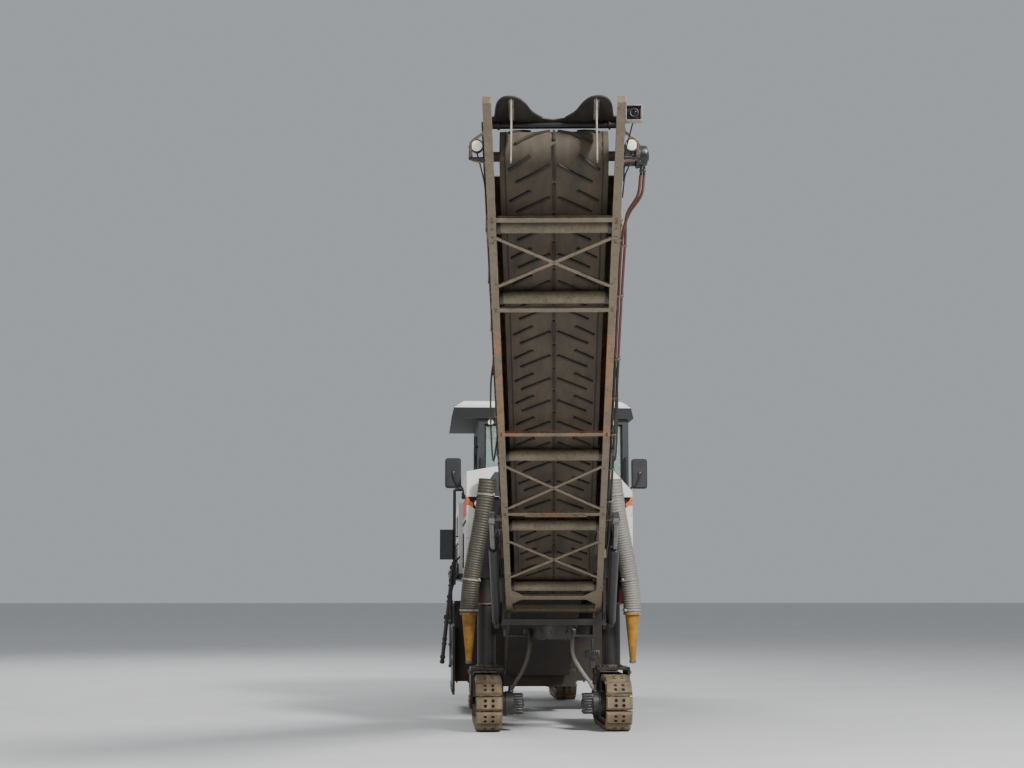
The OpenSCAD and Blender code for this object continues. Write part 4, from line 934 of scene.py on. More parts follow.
def make_conveyor_lines():
    """Hoses and cables along the conveyor, and the clips that hold them."""
    brown, black = Shape(CONVEYOR), Shape(CONVEYOR)
    for k in (0, 0.028):
        brown.tube([(HEAD_S - 0.13, 0.7205 - k, BELT_N - 0.085), (HEAD_S - 0.25, 0.70 - k, 0.14),
                    (HEAD_S - 0.4, 0.60 - k / 2, 0.06), (6.3, 0.556 + k, 0.045), (5.6, 0.551 + k, 0.045),
                    (4.7, 0.551 + k, 0.045)], 0.024, steps=10)
        black.tube([(4.7, 0.551 + k, 0.045), (3.6, 0.552 + k, 0.05), (2.5, 0.551 + k, 0.05),
                    (1.55, 0.551 + k, 0.1), (0.9, 0.551 + k, 0.3), (0.55, 0.552 + k, 0.4)], 0.026)
    black.tube([(7.6, -0.545, 0.1), (7.1, -0.546, 0.1), (5.6, -0.546, 0.09), (4.0, -0.546, 0.09),
                (2.4, -0.546, 0.09), (1.2, -0.546, 0.12), (0.6, -0.546, 0.35)], 0.018)
    black.tube([(7.28, -0.6, 0.1), (7.15, -0.57, 0.05), (6.95, -0.55, 0.07), (6.7, -0.546, 0.09)], 0.012)
    black.tube([(7.28, 0.6, 0.1), (7.18, 0.58, 0.04), (7.05, 0.555, 0.05), (6.8, 0.545, 0.06)], 0.012)
    black.tube([(7.65, 0.6, 0.07), (7.5, 0.57, 0.03), (7.3, 0.548, 0.05), (7.0, 0.546, 0.05)], 0.012)
    brown.done("motor_hoses", "brown_cable", "conveyor")
    black.done("conveyor_cables", "cable", "conveyor")
    clips = Shape(CONVEYOR)
    for s in (6.25, 5.6, 4.7, 4.1, 3.5, 2.9, 2.3):
        clips.box((s - 0.012, RAIL_OUT, 0.025), (s + 0.012, 0.598, 0.032))
        clips.box((s - 0.012, 0.594, 0.025), (s + 0.012, 0.6, 0.068))
        clips.box((s - 0.012, -0.556, 0.075), (s + 0.012, -RAIL_OUT, 0.105))
    clips.done("line_clips", "steel", "conveyor", 0.001)


CORD_D = 0.018
# The hanging loops: place along the conveyor, across it, over its underside
CORD_ROUTE = [(4.52, 0.546, 0.16), (4.46, 0.562, 0.11), (4.34, 0.578, 0.05), (4.15, 0.586, -0.03),
              (3.92, 0.59, -0.10), (3.68, 0.59, -0.15), (3.46, 0.588, -0.165), (3.30, 0.584, -0.13),
              (3.235, 0.576, -0.05), (3.25, 0.565, 0.04), (3.30, 0.552, 0.12), (3.36, 0.546, 0.18)]


def path_length(path):
    return sum((b - a).length for a, b in zip(path, path[1:]))


def make_cords():
    """The two loops of cable that hang beside the conveyor, from a gland and back into one."""
    for side, word in ((1, "left"), (-1, "right")):
        corners = [CONVEYOR @ Vector((s, side * v, n)) for s, v, n in CORD_ROUTE]
        path = smooth_path(corners, 3)
        cable = Shape().rings(path, [CORD_D / 2] * len(path), 12)
        cable = cable.done(f"loop_cable_{word}", "cable", "conveyor")
        glands = Shape(CONVEYOR)
        for (s, v, n), (s2, v2, n2) in ((CORD_ROUTE[0], CORD_ROUTE[1]), (CORD_ROUTE[-1], CORD_ROUTE[-2])):
            here, there = Vector((s, side * v, n)), Vector((s2, side * v2, n2))
            run = (there - here).normalized()
            glands.bar(here - run * 0.02, here + run * 0.03, 0.036, 0.024, 12)
            glands.box(here - run * 0.02 - Vector((0.025, 0.011, 0.02)),
                       here - run * 0.02 + Vector((0.025, 0.011, 0.02)))
        glands.done(f"cable_glands_{word}", "plastic", "conveyor", 0.001)


# Feed hoses under the conveyor's tail: corner points, and diameter
FEED_HOSES = [
    ("right", 0.046, [(-0.63, -0.235, 1.11), (-0.50, -0.245, 1.13), (-0.37, -0.252, 1.09),
                      (-0.29, -0.262, 0.97), (-0.27, -0.285, 0.84), (-0.27, -0.34, 0.69),
                      (-0.295, -0.42, 0.56), (-0.31, -0.48, 0.45)]),
    ("left", 0.046, [(-0.63, 0.235, 1.11), (-0.50, 0.24, 1.12), (-0.37, 0.235, 1.08), (-0.29, 0.225, 0.97),
                     (-0.27, 0.24, 0.84), (-0.27, 0.32, 0.69), (-0.295, 0.415, 0.56), (-0.31, 0.48, 0.45)]),
]


# Belt

BELT_R = 0.198
BELT_T = 0.018
BELT_W = 0.86
BELT_PERIODS = 42
BELT_STATIONS = 220


def on_belt(p, v, out):
    """Point over the belt's outer face, from distances along it, across it and outward."""
    run, bend = HEAD_S - TAIL_S, math.pi * BELT_R
    p %= 2 * (run + bend)
    r = BELT_R + out
    back = p >= run + bend
    if back:
        p -= run + bend
    if p < run:
        s, n = p - run / 2, -r
    else:
        a = (p - run) / BELT_R - math.pi / 2
        s, n = run / 2 + r * math.cos(a), r * math.sin(a)
    if back:
        s, n = -s, -n
    return Vector(((HEAD_S + TAIL_S) / 2 + s, v, BELT_N + n))


def ribbon(shape, line, half, low, high, taper=0.65):
    """A raised rib along a line of places on the belt."""
    line = [Vector(p) for p in line]
    last = len(line) - 1
    points, faces = [], []
    for i, p in enumerate(line):
        run = (line[min(i + 1, last)] - line[max(i - 1, 0)]).normalized()
        side = Vector((-run.y, run.x)) * half
        for q, out in ((p - side, low), (p + side, low), (p + side * taper, high),
                       (p - side * taper, high)):
            points.append(on_belt(q.x, q.y, out))
    faces += [(3, 2, 1, 0), tuple(4 * last + k for k in range(4))]
    for i in range(last):
        for k in range(4):
            a, b = 4 * i + k, 4 * i + (k + 1) % 4
            faces.append((a, b, b + 4, a + 4))
    shape._add(points, faces)


def make_belt():
    """The belt's band, with its cleats in two staggered rows on each side of a middle rib."""
    whole = 2 * (HEAD_S - TAIL_S) + math.tau * BELT_R
    band = Shape(CONVEYOR)
    points, faces = [], []
    for i in range(BELT_STATIONS):
        p = whole * i / BELT_STATIONS
        for v, out in ((-BELT_W / 2, 0), (BELT_W / 2, 0), (BELT_W / 2, -BELT_T), (-BELT_W / 2, -BELT_T)):
            points.append(on_belt(p, v, out))
        for k in range(4):
            a, b = 4 * i + k, 4 * i + (k + 1) % 4
            faces.append((a, b, (b + 4) % (4 * BELT_STATIONS), (a + 4) % (4 * BELT_STATIONS)))
    band._add(points, faces)
    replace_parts(band.done("belt_band", "belt", "conveyor"), "conveyor_belt")
    cleats = Shape(CONVEYOR)
    pitch = whole / BELT_PERIODS
    sink, top = -0.002, 0.0152
    for i in range(BELT_PERIODS):
        p = i * pitch
        for side in (1, -1):
            inner = [(p + 0.17 - 0.66 * t, side * (0.035 + t)) for t in (0, 0.09, 0.18, 0.265)]
            outer = [(p + pitch / 2 + 0.07 - 0.75 * t, side * (0.19 + t)) for t in (0, 0.055, 0.11, 0.165)]
            ribbon(cleats, inner, 0.015, sink, top)
            ribbon(cleats, outer, 0.015, sink, top)
            ribbon(cleats, [(p + pitch * t, side * 0.385) for t in (0, 0.25, 0.5, 0.75, 1)], 0.006, sink,
                   0.005)
        ribbon(cleats, [(p + 0.02 + (pitch - 0.04) * t, 0) for t in (0, 0.33, 0.66, 1)], 0.012, sink, top)
    cleats.done("belt_cleats", "cleat", "conveyor")


def make_feed():
    """The manifold on the nose and the hoses from it to the front tracks' drives."""
    block = Shape()
    block.box((FRONT_X - 0.88, -0.30, 1.075), (FRONT_X - 0.662, 0.30, 1.14))
    for y in (-0.235, 0.235):
        block.bar((FRONT_X - 0.662, y, 1.11), (FRONT_X - 0.63, y, 1.11), 0.052, sides=6)
    for y in (-0.27, -0.16, 0.0, 0.16, 0.27):
        block.bolt((FRONT_X - 0.75, y, 1.14), (0, 0, 1), 0.022, 0.014)
    block.done("feed_manifold", "dark_steel", "machine", 0.002)
    for word, d, route in FEED_HOSES:
        look = "hose" if word == "left" else "olive_hose"
        path = smooth_path([(FRONT_X + x, y, z) for x, y, z in route], 4)
        ribs = [d / 2 - (0, 0.002)[i % 2] for i in range(len(path))]
        hose = Shape().rings(path, ribs, 14).done(f"feed_hose_{word}", look, None)
        unit = f"track_unit_front_{word}"
        ends = Shape()
        ends.bar(path[0], path[0] + (path[1] - path[0]).normalized() * 0.05, 0.058, 0.052, 12)
        ends.done(f"feed_fitting_top_{word}", "light_steel", "machine", 0.001)
        foot = Shape()
        foot.bar(path[-1] + Vector((0, 0, 0.06)), path[-1], 0.054, 0.06, 12)
        foot.lathe(path[-1] - Vector((0, 0, 0.01)), (0, 0, 1),
                   [(0, 0), (0.042, 0), (0.042, 0.012), (0, 0.012)], 6)
        foot.done(f"feed_fitting_foot_{word}", "dark_steel", unit, 0.001)
        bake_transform(hose)


# Tracks

TRACK_END = 0.54
TRACK_R = 0.31
LINK_R = 0.265
SHOES = 24
SHOE_GAP = 0.016
TRACK_W = 0.30
HOLE_R = 0.02
HOLE_PLACES = (0.029, 0.043)


def loop_place(p):
    """Point and outward direction at the distance p along a track's link line: x, z, and an angle."""
    straight, bend = 2 * TRACK_END, math.pi * LINK_R
    p %= 2 * (straight + bend)
    half = p >= straight + bend
    if half:
        p -= straight + bend
    turn = math.pi if half else 0
    if p < straight:
        x, z, a = TRACK_END - p, LINK_R, math.pi / 2
    else:
        a = math.pi / 2 + (p - straight) / LINK_R
        x, z = -TRACK_END + LINK_R * math.cos(a), LINK_R * math.sin(a)
    if half:
        x, z = -x, -z
    return x, z, a + turn


def in_loop(x, z):
    """The point, brought inside the track's outline."""
    middle = max(-TRACK_END, min(TRACK_END, x))
    r = math.hypot(x - middle, z)
    if r <= TRACK_R:
        return x, z
    return middle + (x - middle) * TRACK_R / r, z * TRACK_R / r


class ShoeShape(Shape):
    """Solids given along, across and out from one place on a track's loop."""

    def start(self, centre, p):
        self.centre = centre
        self.x, self.z, self.angle = loop_place(p)
        return self

    def _add(self, points, faces):
        cos, sin = math.cos(self.angle), math.sin(self.angle)
        placed = []
        for along, across, out in points:
            x, z = in_loop(self.x + cos * out - sin * along, self.z + sin * out + cos * along)
            placed.append(Vector((self.centre.x + x, self.centre.y + across, self.centre.z + z)))
        super()._add(placed, faces)

    def drilled_pad(self, half_l, half_w, low_out, high_out, chamfer, depth):
        """A block with sloping sides and four blind holes in its outer face."""
        round_n = 4
        top_l, top_w = half_l - chamfer, half_w - chamfer
        foot = [(-half_l, -half_w), (half_l, -half_w), (half_l, half_w), (-half_l, half_w)]
        top = [(-top_l, -top_w), (top_l, -top_w), (top_l, top_w), (-top_l, top_w)]
        points = [(a, b, low_out) for a, b in foot] + [(a, b, high_out) for a, b in top]
        # Middles of the outer face's sides, so that the drilled quarters meet them
        points += [(0, -top_w, high_out), (top_l, 0, high_out), (0, top_w, high_out), (-top_l, 0, high_out)]
        self._add(points, [(3, 2, 1, 0), (0, 1, 5, 8, 4), (1, 2, 6, 9, 5), (2, 3, 7, 10, 6),
                           (3, 0, 4, 11, 7)])
        for sa in (-1, 1):
            for sb in (-1, 1):
                ca, cb = sa * HOLE_PLACES[0], sb * HOLE_PLACES[1]
                n = 4 * round_n
                ring = [(ca + HOLE_R * math.cos(math.tau * k / n),
                         cb + HOLE_R * math.sin(math.tau * k / n)) for k in range(n)]
                points = [(a, b, high_out) for a, b in ring] + [(a, b, high_out - depth) for a, b in ring]
                a0, a1 = sorted((0, sa * top_l))
                b0, b1 = sorted((0, sb * top_w))
                # Mid-side and corner points of the quarter, counted round from +along
                points += [(a1, cb, high_out), (a1, b1, high_out), (ca, b1, high_out), (a0, b1, high_out),
                           (a0, cb, high_out), (a0, b0, high_out), (ca, b0, high_out), (a1, b0, high_out)]
                faces = [tuple(range(2 * n - 1, n - 1, -1))]
                faces += [(k, n + k, n + (k + 1) % n, (k + 1) % n) for k in range(n)]
                for quarter in range(4):
                    arc = [(quarter * round_n + k) % n for k in range(round_n, -1, -1)]
                    outer = [2 * n + (2 * quarter + k) % 8 for k in range(3)]
                    faces.append(tuple(arc + outer))
                self._add(points, faces)
        return self


UNITS = [("front", "left", 1), ("front", "right", -1), ("rear", "left", 1), ("rear", "right", -1)]
LINK_Y = 0.075
PAD_LOW, PAD_HIGH = 0.008, 0.045
PAD_CHAMFER = 0.009
HOLE_DEPTH = 0.022
YOKE_TOP = 0.70
COLUMN_D = 0.218
WHEEL_FACE = [(0, 0), (0.05, 0), (0.05, 0.02), (0.075, 0.022), (0.08, 0.006), (0.17, 0.006), (0.19, 0.016),
              (0.205, 0.016), (0.205, 0), (0.2, -0.004), (0, -0.004)]


def track_centre(end, word):
    low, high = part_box(f"track_{end}_{word}")
    return (low + high) / 2


def make_tracks():
    pitch = (4 * TRACK_END + math.tau * LINK_R) / SHOES
    for end, word, _ in UNITS:
        centre = track_centre(end, word)
        body = f"track_unit_{end}_{word}"
        plates, pads, links, holes = ShoeShape(), ShoeShape(), ShoeShape(), ShoeShape()
        half = (pitch - SHOE_GAP) / 2
        for i in range(SHOES):
            p = (i + 0.5) * pitch
            plates.start(centre, p).box((-half, -TRACK_W / 2, -0.012), (half, TRACK_W / 2, PAD_LOW))
            plates.box((-half - 0.006, -TRACK_W / 2 + 0.02, -0.012),
                       (-half + 0.02, TRACK_W / 2 - 0.02, -0.002))
            pads.start(centre, p).drilled_pad(half - 0.004, TRACK_W / 2 - 0.003, PAD_LOW, PAD_HIGH,
                                              PAD_CHAMFER,
                                               HOLE_DEPTH)
            # Black discs on the floor of each pad's holes: painted shade in the recesses
            for a in (-HOLE_PLACES[0], HOLE_PLACES[0]):
                for b in (-HOLE_PLACES[1], HOLE_PLACES[1]):
                    holes.start(centre, p).bar((a, b, 0.0226), (a, b, 0.026), 2 * HOLE_R - 0.001, sides=16)
            for y in (-LINK_Y, LINK_Y):
                links.start(centre, p).box((-pitch / 2 - 0.008, y - 0.012, -0.06),
                                           (pitch / 2 - 0.012, y + 0.012, -0.014))
                links.box((-pitch / 2 + 0.03, y - 0.022, -0.055), (pitch / 2 - 0.04, y - 0.006, -0.016))
            links.start(centre, p + pitch / 2).bar((0, -0.095, -0.037), (0, 0.095, -0.037), 0.03, sides=10)
            for a in (-0.03, 0.03):
                for b in (-LINK_Y, LINK_Y):
                    links.start(centre, p).bar((a, b, -0.024), (a, b, -0.012), 0.026, sides=6)
        shoes = plates.done(f"track_plates_{end}_{word}", "steel", body)
        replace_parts(shoes, f"track_{end}_{word}")
        pads.weld = True
        pads.done(f"track_pads_{end}_{word}", "pad", body)
        links.done(f"track_links_{end}_{word}", "dark_steel", body)
        # The discs in the holes are painted shade, in the seal rubber's colour
        holes.done(f"track_pad_hole_shade_{end}_{word}", "seal", body)


def make_track_frames():
    for end, word, side in UNITS:
        x, y, mid_z = track_centre(end, word)
        body = f"track_unit_{end}_{word}"
        steel = Shape()
        # Yoke: bolts and a band round the column, caps over the pins, and stiffeners
        steel.bolt_circle((x, y, YOKE_TOP), (0, 0, 1), 12, 0.135, 0.026, 0.014, 0.5)
        steel.band((x, y, YOKE_TOP + 0.012), (0, 0, 1), COLUMN_D, 0.024, 0.012)
        for out in (-1, 1):
            face = y + out * 0.192
            steel.cap((x, face, mid_z), (0, out, 0), 0.075, 0.012, 0.05, 0.018, 28)
            steel.bolt_circle((x, face + out * 0.012, mid_z), (0, out, 0), 6, 0.058, 0.018, 0.01)
            for k in (-0.2, 0.2):
                steel.prism([(k - 0.006, 0, 0.62), (k + 0.006, 0, 0.62), (k + 0.006, 0, 0.665),
                             (k - 0.006, 0, 0.665)],
                            (x, face, 0), (x, face + out * 0.022, 0))
        steel.done(f"yoke_fittings_{end}_{word}", "steel", body, 0.0015)

        drive = Shape()
        inner = -side
        hub_x = x + TRACK_END
        hub_y = y + inner * 0.28
        box_y = y + inner * 0.39
        # Motor housing on the hub's inner side
        outline = rounded_rectangle((hub_x - 0.095, mid_z - 0.115), (hub_x + 0.095, mid_z + 0.115), 0.03)
        drive.plate_y(outline, hub_y, box_y)
        drive.bolt_circle((hub_x, hub_y, mid_z), (0, inner, 0), 10, 0.115, 0.02, 0.012)
        drive.band((hub_x, y + inner * 0.20, mid_z), (0, 1, 0), 0.262, 0.02, 0.01)
        for k in range(7):
            z = mid_z - 0.09 + 0.03 * k
            drive.box((hub_x + 0.095, min(hub_y, box_y) + 0.012, z),
                      (hub_x + 0.103, max(hub_y, box_y) - 0.012, z + 0.01))
        for a in (-0.075, 0.075):
            for b in (-0.095, 0.095):
                drive.bolt((hub_x + a, box_y, mid_z + b), (0, inner, 0), 0.018, 0.01)
        drive.cap((hub_x, box_y, mid_z), (0, inner, 0), 0.05, 0.01, 0.03, 0.018)
        # Sprocket ring and idler ring on the wheels' faces
        for cx in (x + TRACK_END, x - TRACK_END):
            for out in (-1, 1):
                if out == inner and cx > x:
                    continue
                drive.lathe((cx, y + out * 0.055, mid_z), (0, out, 0), WHEEL_FACE, 36)
                drive.bolt_circle((cx, y + out * 0.061, mid_z), (0, out, 0), 8, 0.125, 0.022, 0.01)
        drive.done(f"drive_fittings_{end}_{word}", "dark_steel", body, 0.0015)

        # Covers with grease caps on the roller frame's sides
        side_parts = Shape()
        for out in (-1, 1):
            face = y + out * 0.075
            side_parts.box((x - 0.44, face, mid_z - 0.05), (x - 0.3, face + out * 0.012, mid_z + 0.05))
            side_parts.bar((x - 0.36, face + out * 0.012, mid_z), (x - 0.36, face + out * 0.03, mid_z),
                           0.03, sides=6)
            for k in (-0.42, -0.32):
                side_parts.bolt((x + k, face + out * 0.012, mid_z + 0.035), (0, out, 0), 0.014, 0.008)
        side_parts.done(f"track_frame_covers_{end}_{word}", "black", body, 0.001)


# Mirrors

def make_mirrors():
    low_c, high_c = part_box("mirrors")
    x = (low_c.x + high_c.x) / 2
    z0, z1 = high_c.z - 0.36, high_c.z
    foot_z = 2.68
    shells, arms, faces, rims = Shape(), Shape(), Shape(), Shape()
    for side in (1, -1):
        y = side * (HALF_W + 0.15)
        w, t, rim = 0.095, 0.028, 0.012
        outline = rounded_rectangle((y - w, z0), (y + w, z1), 0.035)
        inner = rounded_rectangle((y - w + rim, z0 + rim), (y + w - rim, z1 - rim), 0.026)
        shells.plate_x(outline, x - t + 0.006, x + t - 0.012)
        shells.plate_x(inner, x + t - 0.012, x + t - 0.002)
        faces.plate_x(inner, x - t - 0.002, x - t + 0.006)
        rims.rings([(x - t + 0.002, a, b) for a, b in outline + outline[:1]], [0.005] * (len(outline) + 1),
                   8)
        middle = (z0 + z1) / 2
        arms.lathe((x + t - 0.004, y, middle), (1, 0, 0),
                   [(0, 0), (0.026, 0), (0.022, 0.012), (0.014, 0.016), (0, 0.018)], 20)
        arms.tube([(x + t + 0.004, y, middle), (x + t + 0.008, y - side * 0.01, middle - 0.06),
                   (x + t, y - side * 0.05, z0 + 0.03), (x + 0.012, side * (HALF_W + 0.06), z0 + 0.02),
                   (x, side * (HALF_W + 0.03), z0 - 0.03), (x, side * (HALF_W + 0.03), foot_z + 0.03)],
                  0.024, 12, 10)
        arms.box((x - 0.03, side * HALF_W, foot_z), (x + 0.03, side * (HALF_W + 0.045), foot_z + 0.05))
        for k in (-0.018, 0.018):
            arms.bolt((x + k, side * (HALF_W + 0.045), foot_z + 0.025), (0, side, 0), 0.014, 0.008)
        arms.band((x, side * (HALF_W + 0.03), foot_z + 0.06), (0, 0, 1), 0.026, 0.03, 0.006)
    made = shells.done("mirror_shells", "plastic", "machine", 0.003, segments=2)
    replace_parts(made, "mirrors")
    faces.done("mirror_faces", "mirror", "machine", 0.001)
    rims.done("mirror_rims", "light_steel", "machine")
    arms.done("mirror_arms", "black", "machine", 0.001)


# Front body

LAMP_PLACES = [(0.848, 2.600), (0.730, 2.565)]
# Outlines of the vents' slats: distance out of the wall, height
VENT_SLAT = [(0, 0), (0.014, -0.012), (0.016, -0.009), (0.002, 0.012)]
HOOD_SLAT = [(0, 0), (0.012, -0.012), (0.014, -0.009), (0.002, 0.01)]


def make_front_lamps():
    bezel, lens = Shape(), Shape()
    for side in (1, -1):
        for y, z in LAMP_PLACES:
            at = Vector((FASCIA_X, side * y, z))
            bezel.lathe(at, (1, 0, 0), [(0, 0), (0.056, 0), (0.056, 0.006), (0.047, 0.012), (0.047, 0.036),
                                        (0.042, 0.036), (0.04, 0.03), (0, 0.03)], 36)
            lens.lathe(at + Vector((0.030, 0, 0)), (1, 0, 0), [(0, 0.001), (0.0395, 0.001), (0.036, 0.006),
                                                               (0.02, 0.011), (0, 0.012)], 32)
    made = bezel.done("front_lamp_bezels", "chrome", "machine")
    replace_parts(made, "front_lamps")
    lens.done("front_lamp_lenses", "lens", "machine")
    # Brow over each pair of lamps, and the dark band's lower lip
    brow = Shape()
    for side in (1, -1):
        brow.prism([(0, side * 0.655, 2.625), (0, side * 0.93, 2.675), (0, side * 0.93, 2.685),
                    (0, side * 0.655, 2.637)],
                   (FASCIA_X, 0, 0), (FASCIA_X + 0.03, 0, 0))
        brow.box((FASCIA_X, side * 0.64, 2.485), (FASCIA_X + 0.012, side * 0.80, 2.495))
    brow.done("lamp_brows", "plastic", "machine", 0.002)


COWL = [(-0.84, 2.69), (-0.65, 2.975), (0.58, 2.945), (0.70, 2.69)]
# The side panels' raised white corner, and the flash over it: distance in from the side, height
RISE = [(0, 2.48), (0, 2.58), (0.04, 2.58), (0.17, 2.482), (0.17, 2.48)]
FLASH = [(0, 2.581), (0, 2.68), (0.02, 2.68), (0.04, 2.636), (0.08, 2.606), (0.08, 2.551), (0.04, 2.581)]


def make_front_corners():
    for side, word in ((1, "left"), (-1, "right")):
        for name, look, outline in (("flange_corner", "white", RISE), ("flash_corner", "orange", FLASH)):
            corner = Shape().plate_x([(side * (HALF_W - y), z) for y, z in outline], FASCIA_X, BODY_X)
            corner.done(f"{name}_{word}", look, "machine", 0.002)


def make_front_body():
    seams = Shape()
    # Seam between the hood and the body, and down the panels' edges
    for side in (1, -1):
        seams.box((BODY_REAR + 0.02, side * (HALF_W - 0.001), 2.677),
                  (FASCIA_X - 0.01, side * (HALF_W + 0.002), 2.683))
        seams.box((BODY_REAR + 0.02, side * (HALF_W - 0.001), 2.477),
                  (BODY_X - 0.06, side * (HALF_W + 0.002), 2.483))
        for k in (0.55, 1.10):
            seams.box((BODY_X - k, side * (HALF_W - 0.001), 1.62),
                      (BODY_X - k + 0.006, side * (HALF_W + 0.002), 2.67))
        seams.box((BODY_X - 0.042, side * (HALF_W - 0.001), 1.60),
                  (BODY_X - 0.037, side * (HALF_W + 0.002), 2.58))
    seams.done("panel_seams", "seal", "machine")

    fittings = Shape()
    for side in (1, -1):
        for k in (0.28, 0.82, 1.36):
            at = Vector((BODY_X - k, side * HALF_W, 2.40))
            fittings.box(at + Vector((-0.045, 0, -0.02)), at + Vector((0.045, side * 0.008, 0.02)))
            fittings.button(at + Vector((0.02, side * 0.008, 0)), (0, side, 0), 0.014, 0.008, 0.01)
        for k in (0.2, 0.55, 1.1, 1.45):
            fittings.bar((BODY_X - k - 0.035, side * (HALF_W + 0.009), 1.66),
                         (BODY_X - k + 0.035, side * (HALF_W + 0.009), 1.66), 0.018, sides=14)
            fittings.box((BODY_X - k - 0.03, side * HALF_W, 1.63),
                         (BODY_X - k + 0.03, side * (HALF_W + 0.006), 1.69))
    fittings.done("panel_latches", "black", "machine", 0.0015)

    vents = Shape()
    for y, edge in ((HALF_W, HALF_W + 0.008), (-HALF_W, -HALF_W - 0.008)):
        vents.louvres((BODY_X - 1.52, BODY_X - 1.2), y, 1.90, 0.045, 9, VENT_SLAT)
        vents.frame((BODY_X - 1.54, y, 1.865), (BODY_X - 1.18, edge, 2.295), 0.01, 1)
    vents.done("side_vents", "black", "machine", 0.0008)

    flange_bolts = Shape()
    for side in (1, -1):
        for k in range(7):
            z = 1.68 + 0.13 * k
            flange_bolts.bolt((BODY_X, side * (HALF_W - 0.02), z), (1, 0, 0), 0.012, 0.003)
        flange_bolts.band((BODY_X - 0.02, side * (HALF_W - 0.065), 1.52), (0, 0, 1), 0.02, 0.006, 0.002)
    flange_bolts.done("flange_screws", "dark_steel", "machine")

    # Dark facet of the hood's front, with a mesh in its lower part
    cowl = Shape().plate_x(COWL, BODY_X, BODY_X + 0.006)
    cowl.done("hood_cowl", "slate", "machine", 0.002)
    mesh = Shape()
    for k in range(25):
        y = -0.48 + 0.04 * k
        mesh.bar((BODY_X + 0.008, y, 2.71), (BODY_X + 0.008, y, 2.86), 0.005, sides=6)
    for k in range(4):
        z = 2.72 + 0.043 * k
        mesh.bar((BODY_X + 0.011, -0.49, z), (BODY_X + 0.011, 0.49, z), 0.005, sides=6)
    mesh.done("cowl_mesh", "dark_steel", "machine")

    red = Shape()
    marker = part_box("marker_lamps")
    for side in (1, -1):
        for k in range(4):
            z = marker[0].z + 0.025 + 0.028 * k
            red.box((BODY_X - 0.001, side * (HALF_W - 0.052 - 0.004 * (3 - k)), z),
                    (BODY_X + 0.003, side * (HALF_W - 0.080), z + 0.006))
    red.done("marker_ribs", "red", "machine", 0.001)

    # Valve blocks and their hoses beside the tunnel, under the fascia
    valves, lines = Shape(), Shape()
    for side in (1, -1):
        y0 = 0.56 if side > 0 else -0.60
        valves.box((FASCIA_X, y0 - 0.05, 2.10), (FASCIA_X + 0.06, y0 + 0.05, 2.30))
        for k in range(4):
            z = 2.12 + 0.05 * k
            valves.bar((FASCIA_X + 0.06, y0, z), (FASCIA_X + 0.085, y0, z), 0.026, sides=6)
            end_y = y0 - side * 0.03 * k
            lines.tube([(FASCIA_X + 0.08, y0, z), (FASCIA_X + 0.12, y0, z - 0.02),
                        (FASCIA_X + 0.125, y0 - side * 0.01 * k, z - 0.14),
                        (FASCIA_X + 0.09, end_y, 1.86 - 0.04 * k), (FASCIA_X + 0.04, end_y, 1.74),
                        (FASCIA_X + 0.01, end_y, 1.64)],
                       0.02, 10, 8)
    valves.done("valve_blocks", "dark_steel", "machine", 0.002)
    # Bundle that comes down from the hood behind the right hose
    for k in range(7):
        y = -0.50 - 0.022 * (k % 4)
        x = FASCIA_X + 0.02 + 0.022 * (k // 4)
        lines.tube([(x, y, 2.62), (x + 0.01, y - 0.01, 2.48), (x + 0.02, y + 0.015 * math.sin(k), 2.33),
                    (x + 0.015, y - 0.03 - 0.01 * k, 2.17), (x, y - 0.07 - 0.012 * k, 2.03),
                    (x - 0.01, y - 0.05, 1.9), (x - 0.02, y - 0.02, 1.74)], 0.014 + 0.004 * (k % 3), 10, 6)
    lines.done("front_lines", "cable", "machine")
    ties = Shape()
    for z, y in ((2.48, -0.545), (2.2, -0.60), (1.95, -0.63)):
        ties.box((FASCIA_X, y - 0.055, z - 0.01), (FASCIA_X + 0.062, y + 0.055, z + 0.01))
    ties.done("line_ties", "seal", "machine", 0.003)


# Cab

